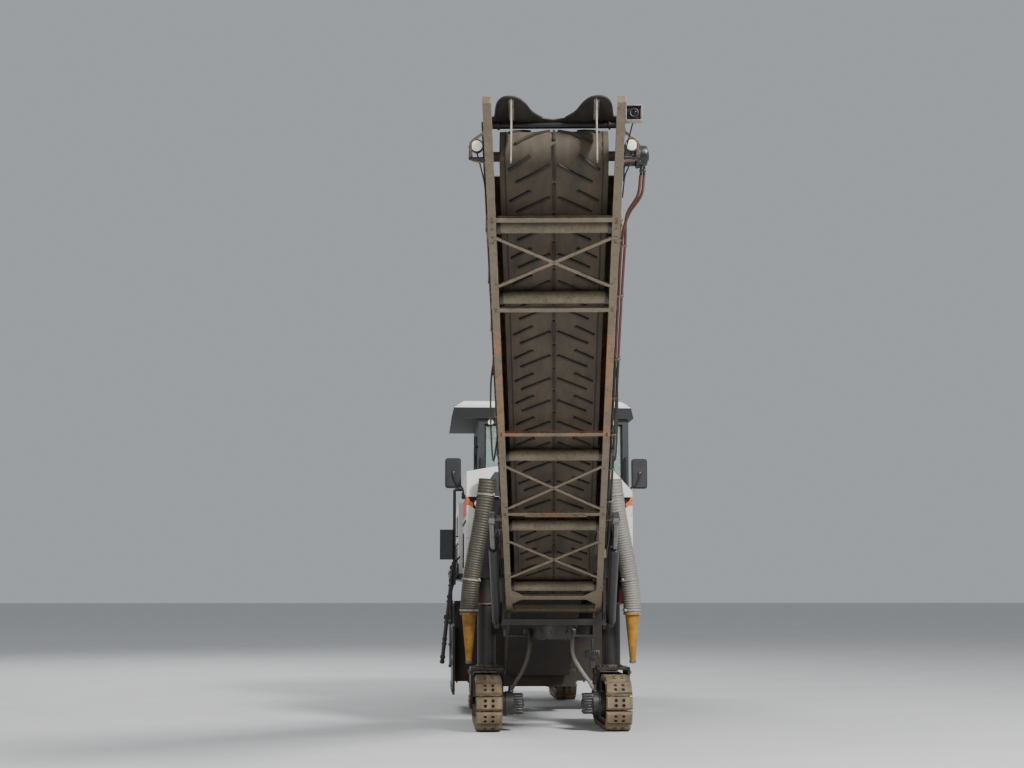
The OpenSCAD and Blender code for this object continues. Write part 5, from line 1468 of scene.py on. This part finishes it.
def make_cab():
    c0, c1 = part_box("cab_frame")
    glass_low, glass_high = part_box("cab_glass")
    z0, z1 = glass_low.z, glass_high.z
    seals = Shape()
    post, glass_in, seal_w, seal_t = 0.08, 0.034, 0.022, 0.012
    y0, y1 = c0.y + post, c1.y - post
    for x in (c1.x - glass_in, c0.x + glass_in):
        seals.frame((x - seal_t, y0, z0), (x + seal_t, y1, z1), seal_w, 0)
    x0, x1 = c0.x + post, c1.x - post
    y = c1.y - glass_in
    seals.frame((x0, y - seal_t, z0), (x1, y + seal_t, z1), seal_w, 1)
    middle = (x0 + x1) / 2
    seals.box((middle, y - seal_t, z0), (middle + seal_w, y + seal_t, z1))
    seals.done("window_seals", "seal", "machine", 0.003)

    # Wipers on the front glass
    wipers = Shape()
    for y, lean in ((c0.y + 0.5, 0.32), (c1.y - 0.55, -0.32)):
        x = c1.x - 0.026
        wipers.lathe((x, y, z0 + 0.02), (1, 0, 0), [(0, 0), (0.03, 0), (0.026, 0.02), (0, 0.024)], 20)
        tip = Vector((x + 0.018, y + lean, z0 + 0.72))
        wipers.bar((x + 0.018, y, z0 + 0.02), tip, 0.014, 0.009, 8)
        wipers.bar(tip + Vector((-0.008, -0.03, -0.36)), tip + Vector((-0.008, 0.02, 0.22)), 0.012, sides=6)
    wipers.done("wipers", "plastic", "machine", 0.001)

    trim = Shape()
    # Grab rails by the door, on the front pillars and across the rear wall
    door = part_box("cab_door")
    x = c1.x - 0.12
    trim.grip((x, c0.y, 2.35), (x, c0.y, 3.45), (0, -0.045, 0), 0.028, 0.03)
    for y in (c0.y + 0.04, c1.y - 0.04):
        trim.grip((c1.x, y, 2.5), (c1.x, y, 3.3), (0.05, 0, 0), 0.026, 0.03)
    for y in (c0.y + 0.5, c1.y - 0.5):
        trim.grip((c0.x, y - 0.25, 2.16), (c0.x, y + 0.25, 2.16), (-0.05, 0, 0), 0.026, 0.03)
    trim.done("cab_grab_rails", "black", "machine")

    # Lower cab walls: pressed panels, slats, and round fasteners on the left wall
    walls = Shape()
    for x, out in ((c1.x, 1), (c0.x, -1)):
        walls.box((x, c0.y + 0.12, 1.88), (x + out * 0.008, c1.y - 0.12, 2.16))
        for k in range(5):
            walls.box((x + out * 0.008, c1.y - 0.62, 1.92 + 0.045 * k),
                      (x + out * 0.016, c1.y - 0.22, 1.94 + 0.045 * k))
    for x in (c0.x + 0.15, c0.x + 1.05):
        walls.box((x, c1.y, 1.88), (x + 0.78, c1.y + 0.008, 2.16))
    walls.box((c0.x + 0.12, c0.y - 0.008, 1.88), (c0.x + 0.82, c0.y, 2.16))
    for x in (c0.x + 0.2, c0.x + 0.86, c0.x + 1.1, c0.x + 1.76):
        walls.button((x, c1.y + 0.008, 2.1), (0, 1, 0), 0.018, 0.006, 0.008, 18)
    walls.done("cab_lower_panels", "slate", "machine", 0.004)

    # Roof lip with the lamps' recesses, and the roof lamps
    r0, r1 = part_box("cab_roof")
    lip = Shape()
    lip.box((r0.x, r0.y, r0.z - 0.012), (r1.x, r1.y, r0.z))
    lip.box((r1.x - 0.004, r0.y + 0.03, r0.z + 0.142), (r1.x, r1.y - 0.03, r0.z + 0.15))
    for y in (c0.y + 0.35, (c0.y + c1.y) / 2, c1.y - 0.35):
        lip.box((r1.x - 0.035, y - 0.11, r0.z + 0.03), (r1.x, y + 0.11, r0.z + 0.11))
    lip.done("roof_lip", "plastic", "machine", 0.003)
    lights = Shape()
    housings = Shape()
    for x, out, ys in ((r1.x, 1, (-0.62, -0.12, 0.55, 1.0)), (r0.x, -1, (-0.6, 0.2, 1.0))):
        for y in ys:
            z = r0.z - 0.055
            housings.lathe((x - out * 0.13, y, z), (out, 0, 0),
                           [(0, 0), (0.025, 0.004), (0.043, 0.03), (0.045, 0.07), (0.04, 0.07), (0, 0.062)],
                           28)
            lights.lathe((x - out * 0.065, y, z), (out, 0, 0),
                         [(0, 0), (0.039, 0), (0.036, 0.005), (0, 0.009)], 28)
            housings.box((x - out * 0.115, y - 0.012, z + 0.035), (x - out * 0.08, y + 0.012, r0.z - 0.01))
    housings.done("roof_lamp_housings", "plastic", "machine")
    lights.done("roof_lamp_lenses", "lens", "machine")

    # Inside: roof lining and floor mat, then controls, screens and armrests
    lining = Shape()
    lining.box((c0.x + 0.09, c0.y + 0.09, c1.z - 0.05), (c1.x - 0.09, c1.y - 0.09, c1.z - 0.02))
    lining.box((c0.x + 0.085, c0.y + 0.085, 1.802), (c1.x - 0.085, c1.y - 0.085, 1.816))
    for k in range(9):
        lining.box((c0.x + 0.2 + 0.18 * k, c0.y + 0.12, 1.816), (c0.x + 0.23 + 0.18 * k, c1.y - 0.12, 1.82))
    lining.done("cab_lining", "box", "machine", 0.002)

    sticks, screens = Shape(), Shape()
    for y in SEAT_Y:
        x = c1.x - 0.42
        screens.prism([(0.215, 0, 2.72), (0.225, 0, 2.72), (0.13, 0, 2.95), (0.12, 0, 2.95)],
                      (x - 0.3, y - 0.14, 0), (x - 0.3, y + 0.14, 0))
        for k in (-0.16, 0.16):
            sticks.lathe((x - 0.02, y + k, 2.80), (0, 0, 1),
                         [(0, 0), (0.04, 0), (0.034, 0.012), (0.02, 0.03), (0, 0.03)], 18)
            sticks.bar((x - 0.02, y + k, 2.82), (x - 0.04, y + k, 2.93), 0.022, 0.028, 12)
            sticks.lathe((x - 0.04, y + k, 2.92), (-0.15, 0, 1),
                         [(0, 0), (0.022, 0.004), (0.026, 0.03), (0.02, 0.055), (0, 0.062)], 16)
        # Armrests on the seat
        sx = c0.x + 0.5
        for k in (-0.29, 0.29):
            sticks.box((sx - 0.2, y + k - 0.035, 2.46), (sx + 0.22, y + k + 0.035, 2.50))
            sticks.bar((sx - 0.22, y + k, 2.40), (sx - 0.2, y + k, 2.47), 0.03, sides=10)
            sticks.lathe((sx + 0.17, y + k, 2.50), (0, 0, 1),
                         [(0, 0), (0.02, 0), (0.012, 0.03), (0.018, 0.06), (0.014, 0.085), (0, 0.09)], 14)
    screens.done("cab_screens", "screen", "machine", 0.004)
    sticks.done("cab_controls", "plastic", "machine", 0.002)

    # Door: handle and its plate, lower panel, lock and seals
    fittings = Shape()
    dx0, dx1 = door[0].x, door[1].x
    y = c0.y
    fittings.grip((dx1 - 0.05, y, 2.45), (dx1 - 0.05, y, 2.75), (0, -0.035, 0), 0.018, 0.02)
    fittings.box((dx1 - 0.075, y - 0.006, 2.38), (dx1 - 0.025, y, 2.82))
    fittings.box((dx0 + 0.16, y - 0.005, 1.93), (dx1 - 0.08, y, 2.17))
    fittings.box((dx1 - 0.075, y + 0.05, 2.5), (dx1 - 0.03, y + 0.058, 2.7))
    fittings.done("door_fittings", "plastic", "door", 0.002)
    door_seals = Shape()
    gx0, gx1 = dx0 + 0.125, dx1 - 0.074
    door_seals.frame((gx0, y + 0.013, 2.22), (gx1, y + 0.037, c1.z - 0.162), 0.02, 1)
    door_seals.done("door_seals", "seal", "door", 0.002)


SEAT_Y = (-0.30, 0.70)


def make_seats():
    """Two upholstered seats with side bolsters and a head rest, each on its base."""
    seat_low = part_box("seats")[0]
    x = seat_low.x + 0.25 + 0.12
    floor_z = seat_low.z
    bases = Shape()
    for n, y in enumerate(SEAT_Y):
        word = ("right", "left")[n]
        bases.lathe((x, y, floor_z), (0, 0, 1), [(0, 0), (0.17, 0), (0.17, 0.02), (0.12, 0.03), (0.11, 0.2),
                                                 (0.1, 0.21), (0.1, 0.3), (0, 0.3)], 28)
        bases.box((x - 0.2, y - 0.19, floor_z + 0.3), (x + 0.2, y + 0.19, floor_z + 0.345))
        bases.box((x - 0.29, y - 0.15, floor_z + 0.36), (x - 0.25, y + 0.15, floor_z + 0.9))
        cushion = cushion_piece(f"seat_cushion_{word}", (0.47, 0.48, 0.13),
                                Matrix.Translation((x + 0.005, y, floor_z + 0.415)))
        back = cushion_piece(f"seat_back_{word}", (0.6, 0.47, 0.12),
                             Matrix.Translation((x - 0.235, y, floor_z + 0.80))
                             @ Matrix.Rotation(math.radians(-93), 4, "Y"))
        rest = cushion_piece(f"seat_head_rest_{word}", (0.17, 0.28, 0.09),
                             Matrix.Translation((x - 0.265, y, floor_z + 1.07))
                             @ Matrix.Rotation(math.radians(-90), 4, "Y"))
        if n == 0:
            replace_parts(cushion, "seats")
    bases.done("seat_bases", "plastic", "machine", 0.003)


def cushion_piece(name, size, place):
    """A crowned pad with raised bolsters at its sides and sewn channels across it."""
    length, width, height = size
    rows, cols = 28, 24
    bm = bmesh.new()
    grids = []
    for top in (1, -1):
        grid = []
        for i in range(rows + 1):
            u = 2 * i / rows - 1
            line = []
            for j in range(cols + 1):
                v = 2 * j / cols - 1
                # Rounded outline and a crowned top that falls to the piping at its edge
                edge = (1 - abs(u) ** 5) ** 0.5 * (1 - abs(v) ** 5) ** 0.5
                raised = min(1, max(0, (abs(v) - 0.55) / 0.25))
                crown = edge * (0.80 + 0.20 * raised) if top > 0 else edge * 0.7
                if top > 0 and abs(v) < 0.62:
                    crown -= 0.09 * math.exp(-(((u * 2.5) % 1 - 0.5) / 0.07) ** 2) * edge
                if top > 0:
                    crown -= 0.12 * math.exp(-((abs(v) - 0.64) / 0.035) ** 2) * edge
                squeeze = 1 - 0.035 * (1 - edge)
                line.append(bm.verts.new(place @ Vector((u * length / 2 * squeeze, v * width / 2 * squeeze,
                                                         top * height / 2 * crown))))
            grid.append(line)
        grids.append(grid)
    for grid, flip in zip(grids, (False, True)):
        for i in range(rows):
            for j in range(cols):
                face = [grid[i][j], grid[i + 1][j], grid[i + 1][j + 1], grid[i][j + 1]]
                bm.faces.new(face[::-1] if flip else face)
    bmesh.ops.remove_doubles(bm, verts=bm.verts, dist=1e-5)
    bmesh.ops.recalc_face_normals(bm, faces=bm.faces)
    mesh = bpy.data.meshes.new(name)
    bm.to_mesh(mesh)
    bm.free()
    piece = bpy.data.objects.new(name, mesh)
    bpy.context.scene.collection.objects.link(piece)
    mesh.materials.append(LOOKS["fabric"])
    for face in mesh.polygons:
        face.use_smooth = True
    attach(piece, "machine")
    return piece


# Platform and handrails

def make_platform():
    deck0, deck1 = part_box("platform_deck")
    grip = Shape()
    top = deck1.z
    for k in range(26):
        x = deck0.x + 0.06 + 0.105 * k
        for y0, y1 in ((deck0.y + 0.03, -0.82), (1.03, deck1.y - 0.03)):
            grip.box((x, y0, top), (x + 0.012, y1, top + 0.004))
    for k in range(4):
        x = deck0.x + 0.06 + 0.11 * k
        grip.box((x, -0.8, top), (x + 0.012, 1.0, top + 0.004))
    for y, out in ((deck0.y, -1), (deck1.y, 1)):
        grip.box((deck0.x, y, top - 0.02), (deck1.x, y + out * 0.006, top + 0.07))
        for k in range(9):
            grip.bolt((deck0.x + 0.2 + 0.29 * k, y + out * 0.006, top + 0.025), (0, out, 0), 0.02, 0.008)
    grip.done("deck_grip", "black", "machine", 0.001)
    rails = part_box("handrails")
    feet = Shape()
    for side in (1, -1):
        for y in (side * 1.09, side * 0.86):
            feet.lathe((rails[1].x - 0.019, y, top), (0, 0, 1),
                       [(0, 0), (0.045, 0), (0.045, 0.01), (0.026, 0.014), (0, 0.014)], 20)
    feet.done("rail_feet", "black", "machine")


# Engine bay and hood

SLAT_PITCH = 0.036


def make_engine_bay():
    b0, b1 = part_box("engine_bay")
    h0, h1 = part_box("engine_hood")
    louvres, frames, seams = Shape(), Shape(), Shape()
    for side in (1, -1):
        y = side * b1.y
        for x0 in (b0.x + 0.25, b0.x + 1.05):
            louvres.louvres((x0, x0 + 0.62), y, b0.z + 0.10, SLAT_PITCH, 11, HOOD_SLAT)
            frames.frame((x0 - 0.02, y, b0.z + 0.07), (x0 + 0.64, y + side * 0.008, b0.z + 0.50), 0.01, 1)
        for x in (b0.x + 0.16, b0.x + 0.96, b0.x + 1.76):
            seams.box((x, y - side * 0.001, b0.z + 0.02), (x + 0.006, y + side * 0.002, b1.z - 0.01))
        seams.box((b0.x + 0.01, y - side * 0.001, b1.z - 0.004),
                  (b1.x - 0.01, y + side * 0.002, b1.z - 0.001))
        for x in (b0.x + 0.5, b0.x + 1.3, b0.x + 2.1):
            frames.box((x - 0.04, y, b1.z - 0.06), (x + 0.04, y + side * 0.01, b1.z - 0.02))
            frames.button((x, y + side * 0.01, b1.z - 0.04), (0, side, 0), 0.014, 0.006, 0.008)
    louvres.done("bay_louvres", "black", "machine", 0.0008)
    frames.done("bay_fittings", "black", "machine", 0.001)
    seams.done("bay_seams", "seal", "machine")
    hood, grips = Shape(), Shape()
    for side in (1, -1):
        y = side * h1.y
        hood.louvres((h0.x + 0.95, h0.x + 1.95), y, h0.z + 0.08, SLAT_PITCH, 9, HOOD_SLAT)
        for x in (h0.x + 0.35, h0.x + 2.1):
            grips.grip((x, y, h0.z + 0.07), (x + 0.14, y, h0.z + 0.07), (0, side * 0.035, 0), 0.014, 0.02)
    top = h1.z
    for k in range(7):
        hood.box((h1.x - 0.62 + 0.07 * k, -0.5, top), (h1.x - 0.6 + 0.07 * k, 0.5, top + 0.01))
    hood.done("hood_louvres", "black", "hood", 0.0008)
    grips.done("hood_grips", "black", "hood")
    # Exhaust stack beside the hood's front, air filter's inlet, rear lamps
    stack = Shape()
    x = h1.x - 0.30
    stack.lathe((x, 0.72, top), (0, 0, 1), [(0, 0), (0.10, 0), (0.10, 0.012), (0.066, 0.02), (0.066, 0.22),
                                            (0.074, 0.224), (0.074, 0.24), (0.056, 0.24), (0.056, 0.1),
                                            (0, 0.1)], 28)
    stack.done("exhaust_stack", "rusty", "hood", 0.001)
    inlet = Shape()
    inlet.lathe((x, -0.66, top), (0, 0, 1), [(0, 0), (0.07, 0), (0.07, 0.09), (0.13, 0.12), (0.14, 0.17),
                                             (0.12, 0.2), (0.04, 0.215), (0, 0.215)], 32)
    inlet.done("air_inlet", "plastic", "hood", 0.001)
    g0, g1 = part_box("radiator_grille")
    lamps, holders = Shape(), Shape()
    for side in (1, -1):
        y = side * 0.94
        outline = rounded_rectangle((y - 0.035, b0.z + 0.12), (y + 0.035, b0.z + 0.40), 0.015)
        holders.plate_x(outline, b0.x - 0.003, b0.x)
        for z in (0.19, 0.33):
            lamps.lathe((b0.x - 0.003, y, b0.z + z), (-1, 0, 0),
                        [(0, 0), (0.028, 0), (0.026, 0.003), (0, 0.005)], 24)
    lamps.done("rear_lamps", "red", "machine")
    holders.done("rear_lamp_holders", "plastic", "machine", 0.002)
    # Frame round the radiator's bars with its bolts, and the fan behind them
    edge = Shape()
    for z in (g0.z - 0.03, g1.z):
        edge.box((g0.x - 0.003, g0.y - 0.03, z), (g0.x + 0.01, g1.y + 0.03, z + 0.03))
    for y in (g0.y - 0.03, g1.y):
        edge.box((g0.x - 0.003, y, g0.z), (g0.x + 0.01, y + 0.03, g1.z))
    for y in (g0.y - 0.015, g1.y + 0.015):
        for k in range(4):
            edge.bolt((g0.x - 0.003, y, g0.z + 0.05 + 0.11 * k), (-1, 0, 0), 0.018, 0.004)
    edge.done("grille_frame", "black", "machine", 0.002)
    engine0, engine1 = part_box("engine_block")
    fan = Shape()
    middle = (g0.z + g1.z) / 2
    at_x = engine0.x - 0.06
    fan.lathe((at_x, 0, middle), (-1, 0, 0), [(0, 0), (0.06, 0), (0.05, 0.03), (0, 0.035)], 24)
    for k in range(8):
        a = math.tau * k / 8
        u, w = Vector((0, math.cos(a), math.sin(a))), Vector((0, -math.sin(a), math.cos(a)))
        centre = Vector((at_x - 0.012, 0, middle))
        corners = [centre + u * 0.05 - w * 0.02, centre + u * 0.2 - w * 0.05, centre + u * 0.2 + w * 0.05,
                   centre + u * 0.05 + w * 0.02]
        fan.prism([tuple(p) for p in corners], (0, 0, 0), (0.004, 0, 0))
    fan.done("radiator_fan", "plastic", "machine")
    # Ribs, head covers, pipes on the engine
    block, pipes = Shape(), Shape()
    for k in range(6):
        x = engine0.x + 0.14 + 0.22 * k
        block.box((x, -0.16, engine1.z), (x + 0.17, 0.16, engine1.z + 0.05))
        for side in (1, -1):
            block.box((x, side * engine1.y, engine0.z + 0.12),
                      (x + 0.16, side * (engine1.y + 0.015), engine1.z - 0.14))
            block.bolt((x + 0.085, side * 0.11, engine1.z + 0.05), (0, 0, 1), 0.03, 0.012)
        pipes.tube([(x + 0.08, 0.41, engine1.z - 0.08), (x + 0.08, 0.47, engine1.z - 0.06),
                    (x + 0.1, 0.49, engine1.z - 0.12)], 0.05)
    pipes.bar((engine0.x + 0.15, 0.49, engine1.z - 0.14), (engine1.x - 0.1, 0.49, engine1.z - 0.14), 0.09)
    block.done("engine_covers", "iron", "machine", 0.006)
    pipes.done("exhaust_manifold", "rusty", "machine")


# Milling unit

def make_milling():
    d0, d1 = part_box("milling_drum")
    axis = Vector(((d0.x + d1.x) / 2, 0, (d0.z + d1.z) / 2))
    h0, h1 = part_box("drum_housing")
    bolts = Shape()
    for side in (1, -1):
        y = side * h1.y
        bolts.bolt_circle((axis.x, y, axis.z), (0, side, 0), 16, 0.36, 0.03, 0.016)
        bolts.lathe((axis.x, y, axis.z), (0, side, 0), [(0, 0), (0.30, 0), (0.30, 0.012), (0.22, 0.02),
                                                        (0.12, 0.02), (0.12, 0.03), (0, 0.03)], 40)
        bolts.box((h0.x + 0.3, y, h1.z - 0.07), (h1.x - 0.3, y + side * 0.012, h1.z - 0.05))
        for x in (-0.45, 0.45):
            bolts.prism([(x - 0.008, 0, h1.z - 0.3), (x + 0.008, 0, h1.z - 0.3),
                         (x + 0.008, 0, h1.z - 0.03), (x - 0.008, 0, h1.z - 0.03)],
                        (axis.x, y, 0), (axis.x, y + side * 0.02, 0))
    bolts.done("housing_fittings", "black", "machine", 0.002)
    for side, word in ((1, "left"), (-1, "right")):
        p0, p1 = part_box(f"edge_protector_{word}")
        y = side * max(abs(p0.y), abs(p1.y))
        skid = Shape()
        for k in range(9):
            x = p0.x + 0.19 + 0.14 * k
            skid.bolt((x, y, p0.z + 0.11), (0, side, 0), 0.026, 0.012)
        skid.box((p0.x + 0.13, y, p0.z + 0.03), (p1.x - 0.13, y + side * 0.012, p0.z + 0.08))
        for x in (p0.x + 0.35, p1.x - 0.35):
            skid.cap((x, y, p0.z + 0.42), (0, side, 0), 0.05, 0.012, 0.03, 0.018)
            skid.box((x - 0.03, y, p0.z + 0.5), (x + 0.03, y + side * 0.01, p1.z - 0.06))
        skid.box((p0.x + 0.1, y, p1.z - 0.035), (p1.x - 0.1, y + side * 0.01, p1.z - 0.015))
        skid.done(f"protector_fittings_{word}", "dark_steel", f"protector_{word}", 0.0015)
    # Holders and worn tips of the picks
    tips = Shape()
    for k in range(16):
        a = math.tau * k / 16
        side = 1 if k % 2 else -1
        y = side * (d1.y - 0.03)
        out = Vector((math.cos(a), 0, math.sin(a)))
        run = Vector((-math.sin(a), 0, math.cos(a)))
        foot = axis + Vector((0, y, 0)) + out * 0.425
        tips.bar(foot, foot + out * 0.045 + run * 0.025, 0.05, 0.04, 10)
        tips.bar(foot + out * 0.045 + run * 0.025, foot + out * 0.072 + run * 0.045, 0.026, 0.008, 10)
    tips.done("end_picks", "light_steel", "milling_rotor", 0.001)


# Folded arm beside the platform's right front corner, and what hangs there

def make_side_arm():
    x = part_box("platform_deck")[1].x - 0.03
    y0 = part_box("platform_deck")[0].y
    top, foot = Vector((x, y0 + 0.01, 1.90)), Vector((x, y0 - 0.115, 0.72))
    run = (foot - top).normalized()
    arm = Shape()
    for dx, a, b, d in ((-0.03, 0.0, 0.62, 0.042), (0.03, 0.0, 0.62, 0.034), (0.0, 0.55, 1.0, 0.05),
                        (0.045, 0.35, 0.95, 0.022)):
        shift = Vector((dx, 0, 0))
        arm.bar(top.lerp(foot, a) + shift, top.lerp(foot, b) + shift, d, sides=14)
    for t, d in ((0.02, 0.075), (0.16, 0.06), (0.33, 0.066), (0.55, 0.085), (0.78, 0.062), (0.97, 0.07)):
        at = top.lerp(foot, t)
        arm.bar(at - Vector((0.055, 0, 0)), at + Vector((0.055, 0, 0)), d, sides=18)
        arm.bolt(at + Vector((0.055, 0, 0)), (1, 0, 0), d * 0.5, 0.014)
        arm.band(at + run * 0.06, run, 0.052, 0.03, 0.006)
    arm.bar(foot, foot + run * 0.05, 0.06, 0.045, 12)
    arm.box((x - 0.07, y0, 1.74), (x + 0.03, y0 + 0.09, 1.79))
    arm.box((x - 0.03, y0 - 0.004, 1.66), (x + 0.035, y0 + 0.05, 1.95))
    for z in (1.69, 1.92):
        arm.bolt((x + 0.035, y0 + 0.022, z), (1, 0, 0), 0.026, 0.012)
    arm.done("side_arm_bars", "black", "machine", 0.003)
    lines = Shape()
    for k, (start, sway) in enumerate(((1.98, 0.05), (1.92, 0.02), (2.02, -0.03))):
        lines.tube([(x + 0.045, y0 + 0.06 + 0.02 * k, start), (x + 0.075, y0 + 0.03 + sway, start - 0.16),
                    (x + 0.05, y0 - 0.005, 1.6 - 0.04 * k), (x + 0.04, y0 - 0.045, 1.32 - 0.05 * k),
                    (x + 0.03, y0 - 0.07, 1.12 - 0.03 * k)], 0.016 + 0.003 * k, 8, 8)
    lines.done("side_arm_lines", "cable", "machine")


def make_conveyor_tail():
    """The tail crossbar's plate, the splices on the rails, and the gussets at the tail."""
    plate = Shape(CONVEYOR)
    s = CROSSBARS[0]
    plate.box((s - 0.045, -0.30, -0.004), (s + 0.01, 0.34, 0))
    for v in (-0.26, -0.12, 0.06, 0.22, 0.31):
        plate.bolt((s - 0.018, v, -0.004), DOWN, 0.026, 0.01)
    plate.done("crossbar_plate", "rusty", "conveyor", 0.001)
    splice = Shape(CONVEYOR)
    for side in (1, -1):
        splice.box((SPLICE_S - 0.16, side * RAIL_OUT, 0.006),
                   (SPLICE_S + 0.16, side * (RAIL_OUT + SPLICE_T), 0.064))
    splice.done("rail_splices", "conveyor", "conveyor", 0.001)
    tail = Shape(CONVEYOR)
    for side in (1, -1):
        tail.prism([(0.06, 0, 0), (0.16, 0, 0), (0.06, 0, 0.1)], (0, side * 0.462, 0), (0, side * 0.47, 0))
        tail.prism([(0.38, side * 0.47, 0), (0.52, side * 0.47, 0), (0.38, side * 0.33, 0)], (0, 0, 0),
                   (0, 0, 0.008))
        tail.prism([(0.30, side * 0.47, 0), (0.30, side * 0.36, 0), (0.20, side * 0.47, 0)], (0, 0, 0),
                   (0, 0, 0.008))
    tail.done("tail_gussets", "conveyor", "conveyor", 0.001)


def make_nose():
    """Bolt ring under the slewing boss, the columns' scraper rings, and a steering sensor."""
    nose0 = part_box("chassis_frame")[0]
    ring = Shape()
    centre = Vector((SLEW_X, 0, nose0.z))
    ring.bolt_circle(centre, DOWN, 16, 0.17, 0.026, 0.014)
    ring.band(centre + Vector((0, 0, -0.006)), (0, 0, 1), 0.15, 0.012, 0.014)
    for k in range(12):
        a = math.tau * k / 12 + 0.2
        if math.cos(a) > -0.2:
            at = Vector((SLEW_X + 0.21 * math.cos(a), 0.21 * math.sin(a), 1.125))
            ring.bolt(at, (math.cos(a), math.sin(a), 0), 0.024, 0.012)
    ring.done("slew_bolts", "dark_steel", "machine", 0.001)
    for end, word, _ in UNITS:
        x, y, _ = track_centre(end, word)
        scraper = Shape().band((x, y, 1.438), (0, 0, 1), COLUMN_D, 0.024, 0.022)
        scraper.bolt_circle((x, y, 1.426), DOWN, 8, 0.12, 0.016, 0.008)
        scraper.done(f"column_scraper_{end}_{word}", "steel", "machine", 0.001)
    # Finned box and the sensor rod beside the front left column
    parts = Shape()
    y = 0.47
    parts.bar((-0.12, y, 1.03), (-0.12, y, 0.90), 0.022, sides=12)
    parts.bar((-0.12, y, 0.96), (-0.12, y, 1.03), 0.034, sides=14)
    parts.box((-0.21, y - 0.075, 0.81), (-0.10, y + 0.085, 0.90))
    for k in range(7):
        parts.box((-0.10, y - 0.07 + 0.022 * k, 0.815), (-0.088, y - 0.062 + 0.022 * k, 0.895))
    parts.box((-0.19, y - 0.02, 0.70), (-0.13, y + 0.03, 0.81))
    parts.done("steer_sensor", "dark_steel", "track_unit_front_left", 0.002)


make_camera()
make_cords()
make_feed()
make_studio()
dress_nodes()
make_hoses()
make_belt()
make_rail_fittings()
make_conveyor_head()
make_work_lamps()
make_head_drive()
make_conveyor_lines()
make_tracks()
make_track_frames()
make_mirrors()
make_front_lamps()
make_front_corners()
make_front_body()
make_cab()
make_seats()
make_platform()
make_engine_bay()
make_milling()
make_side_arm()
make_conveyor_tail()
make_nose()
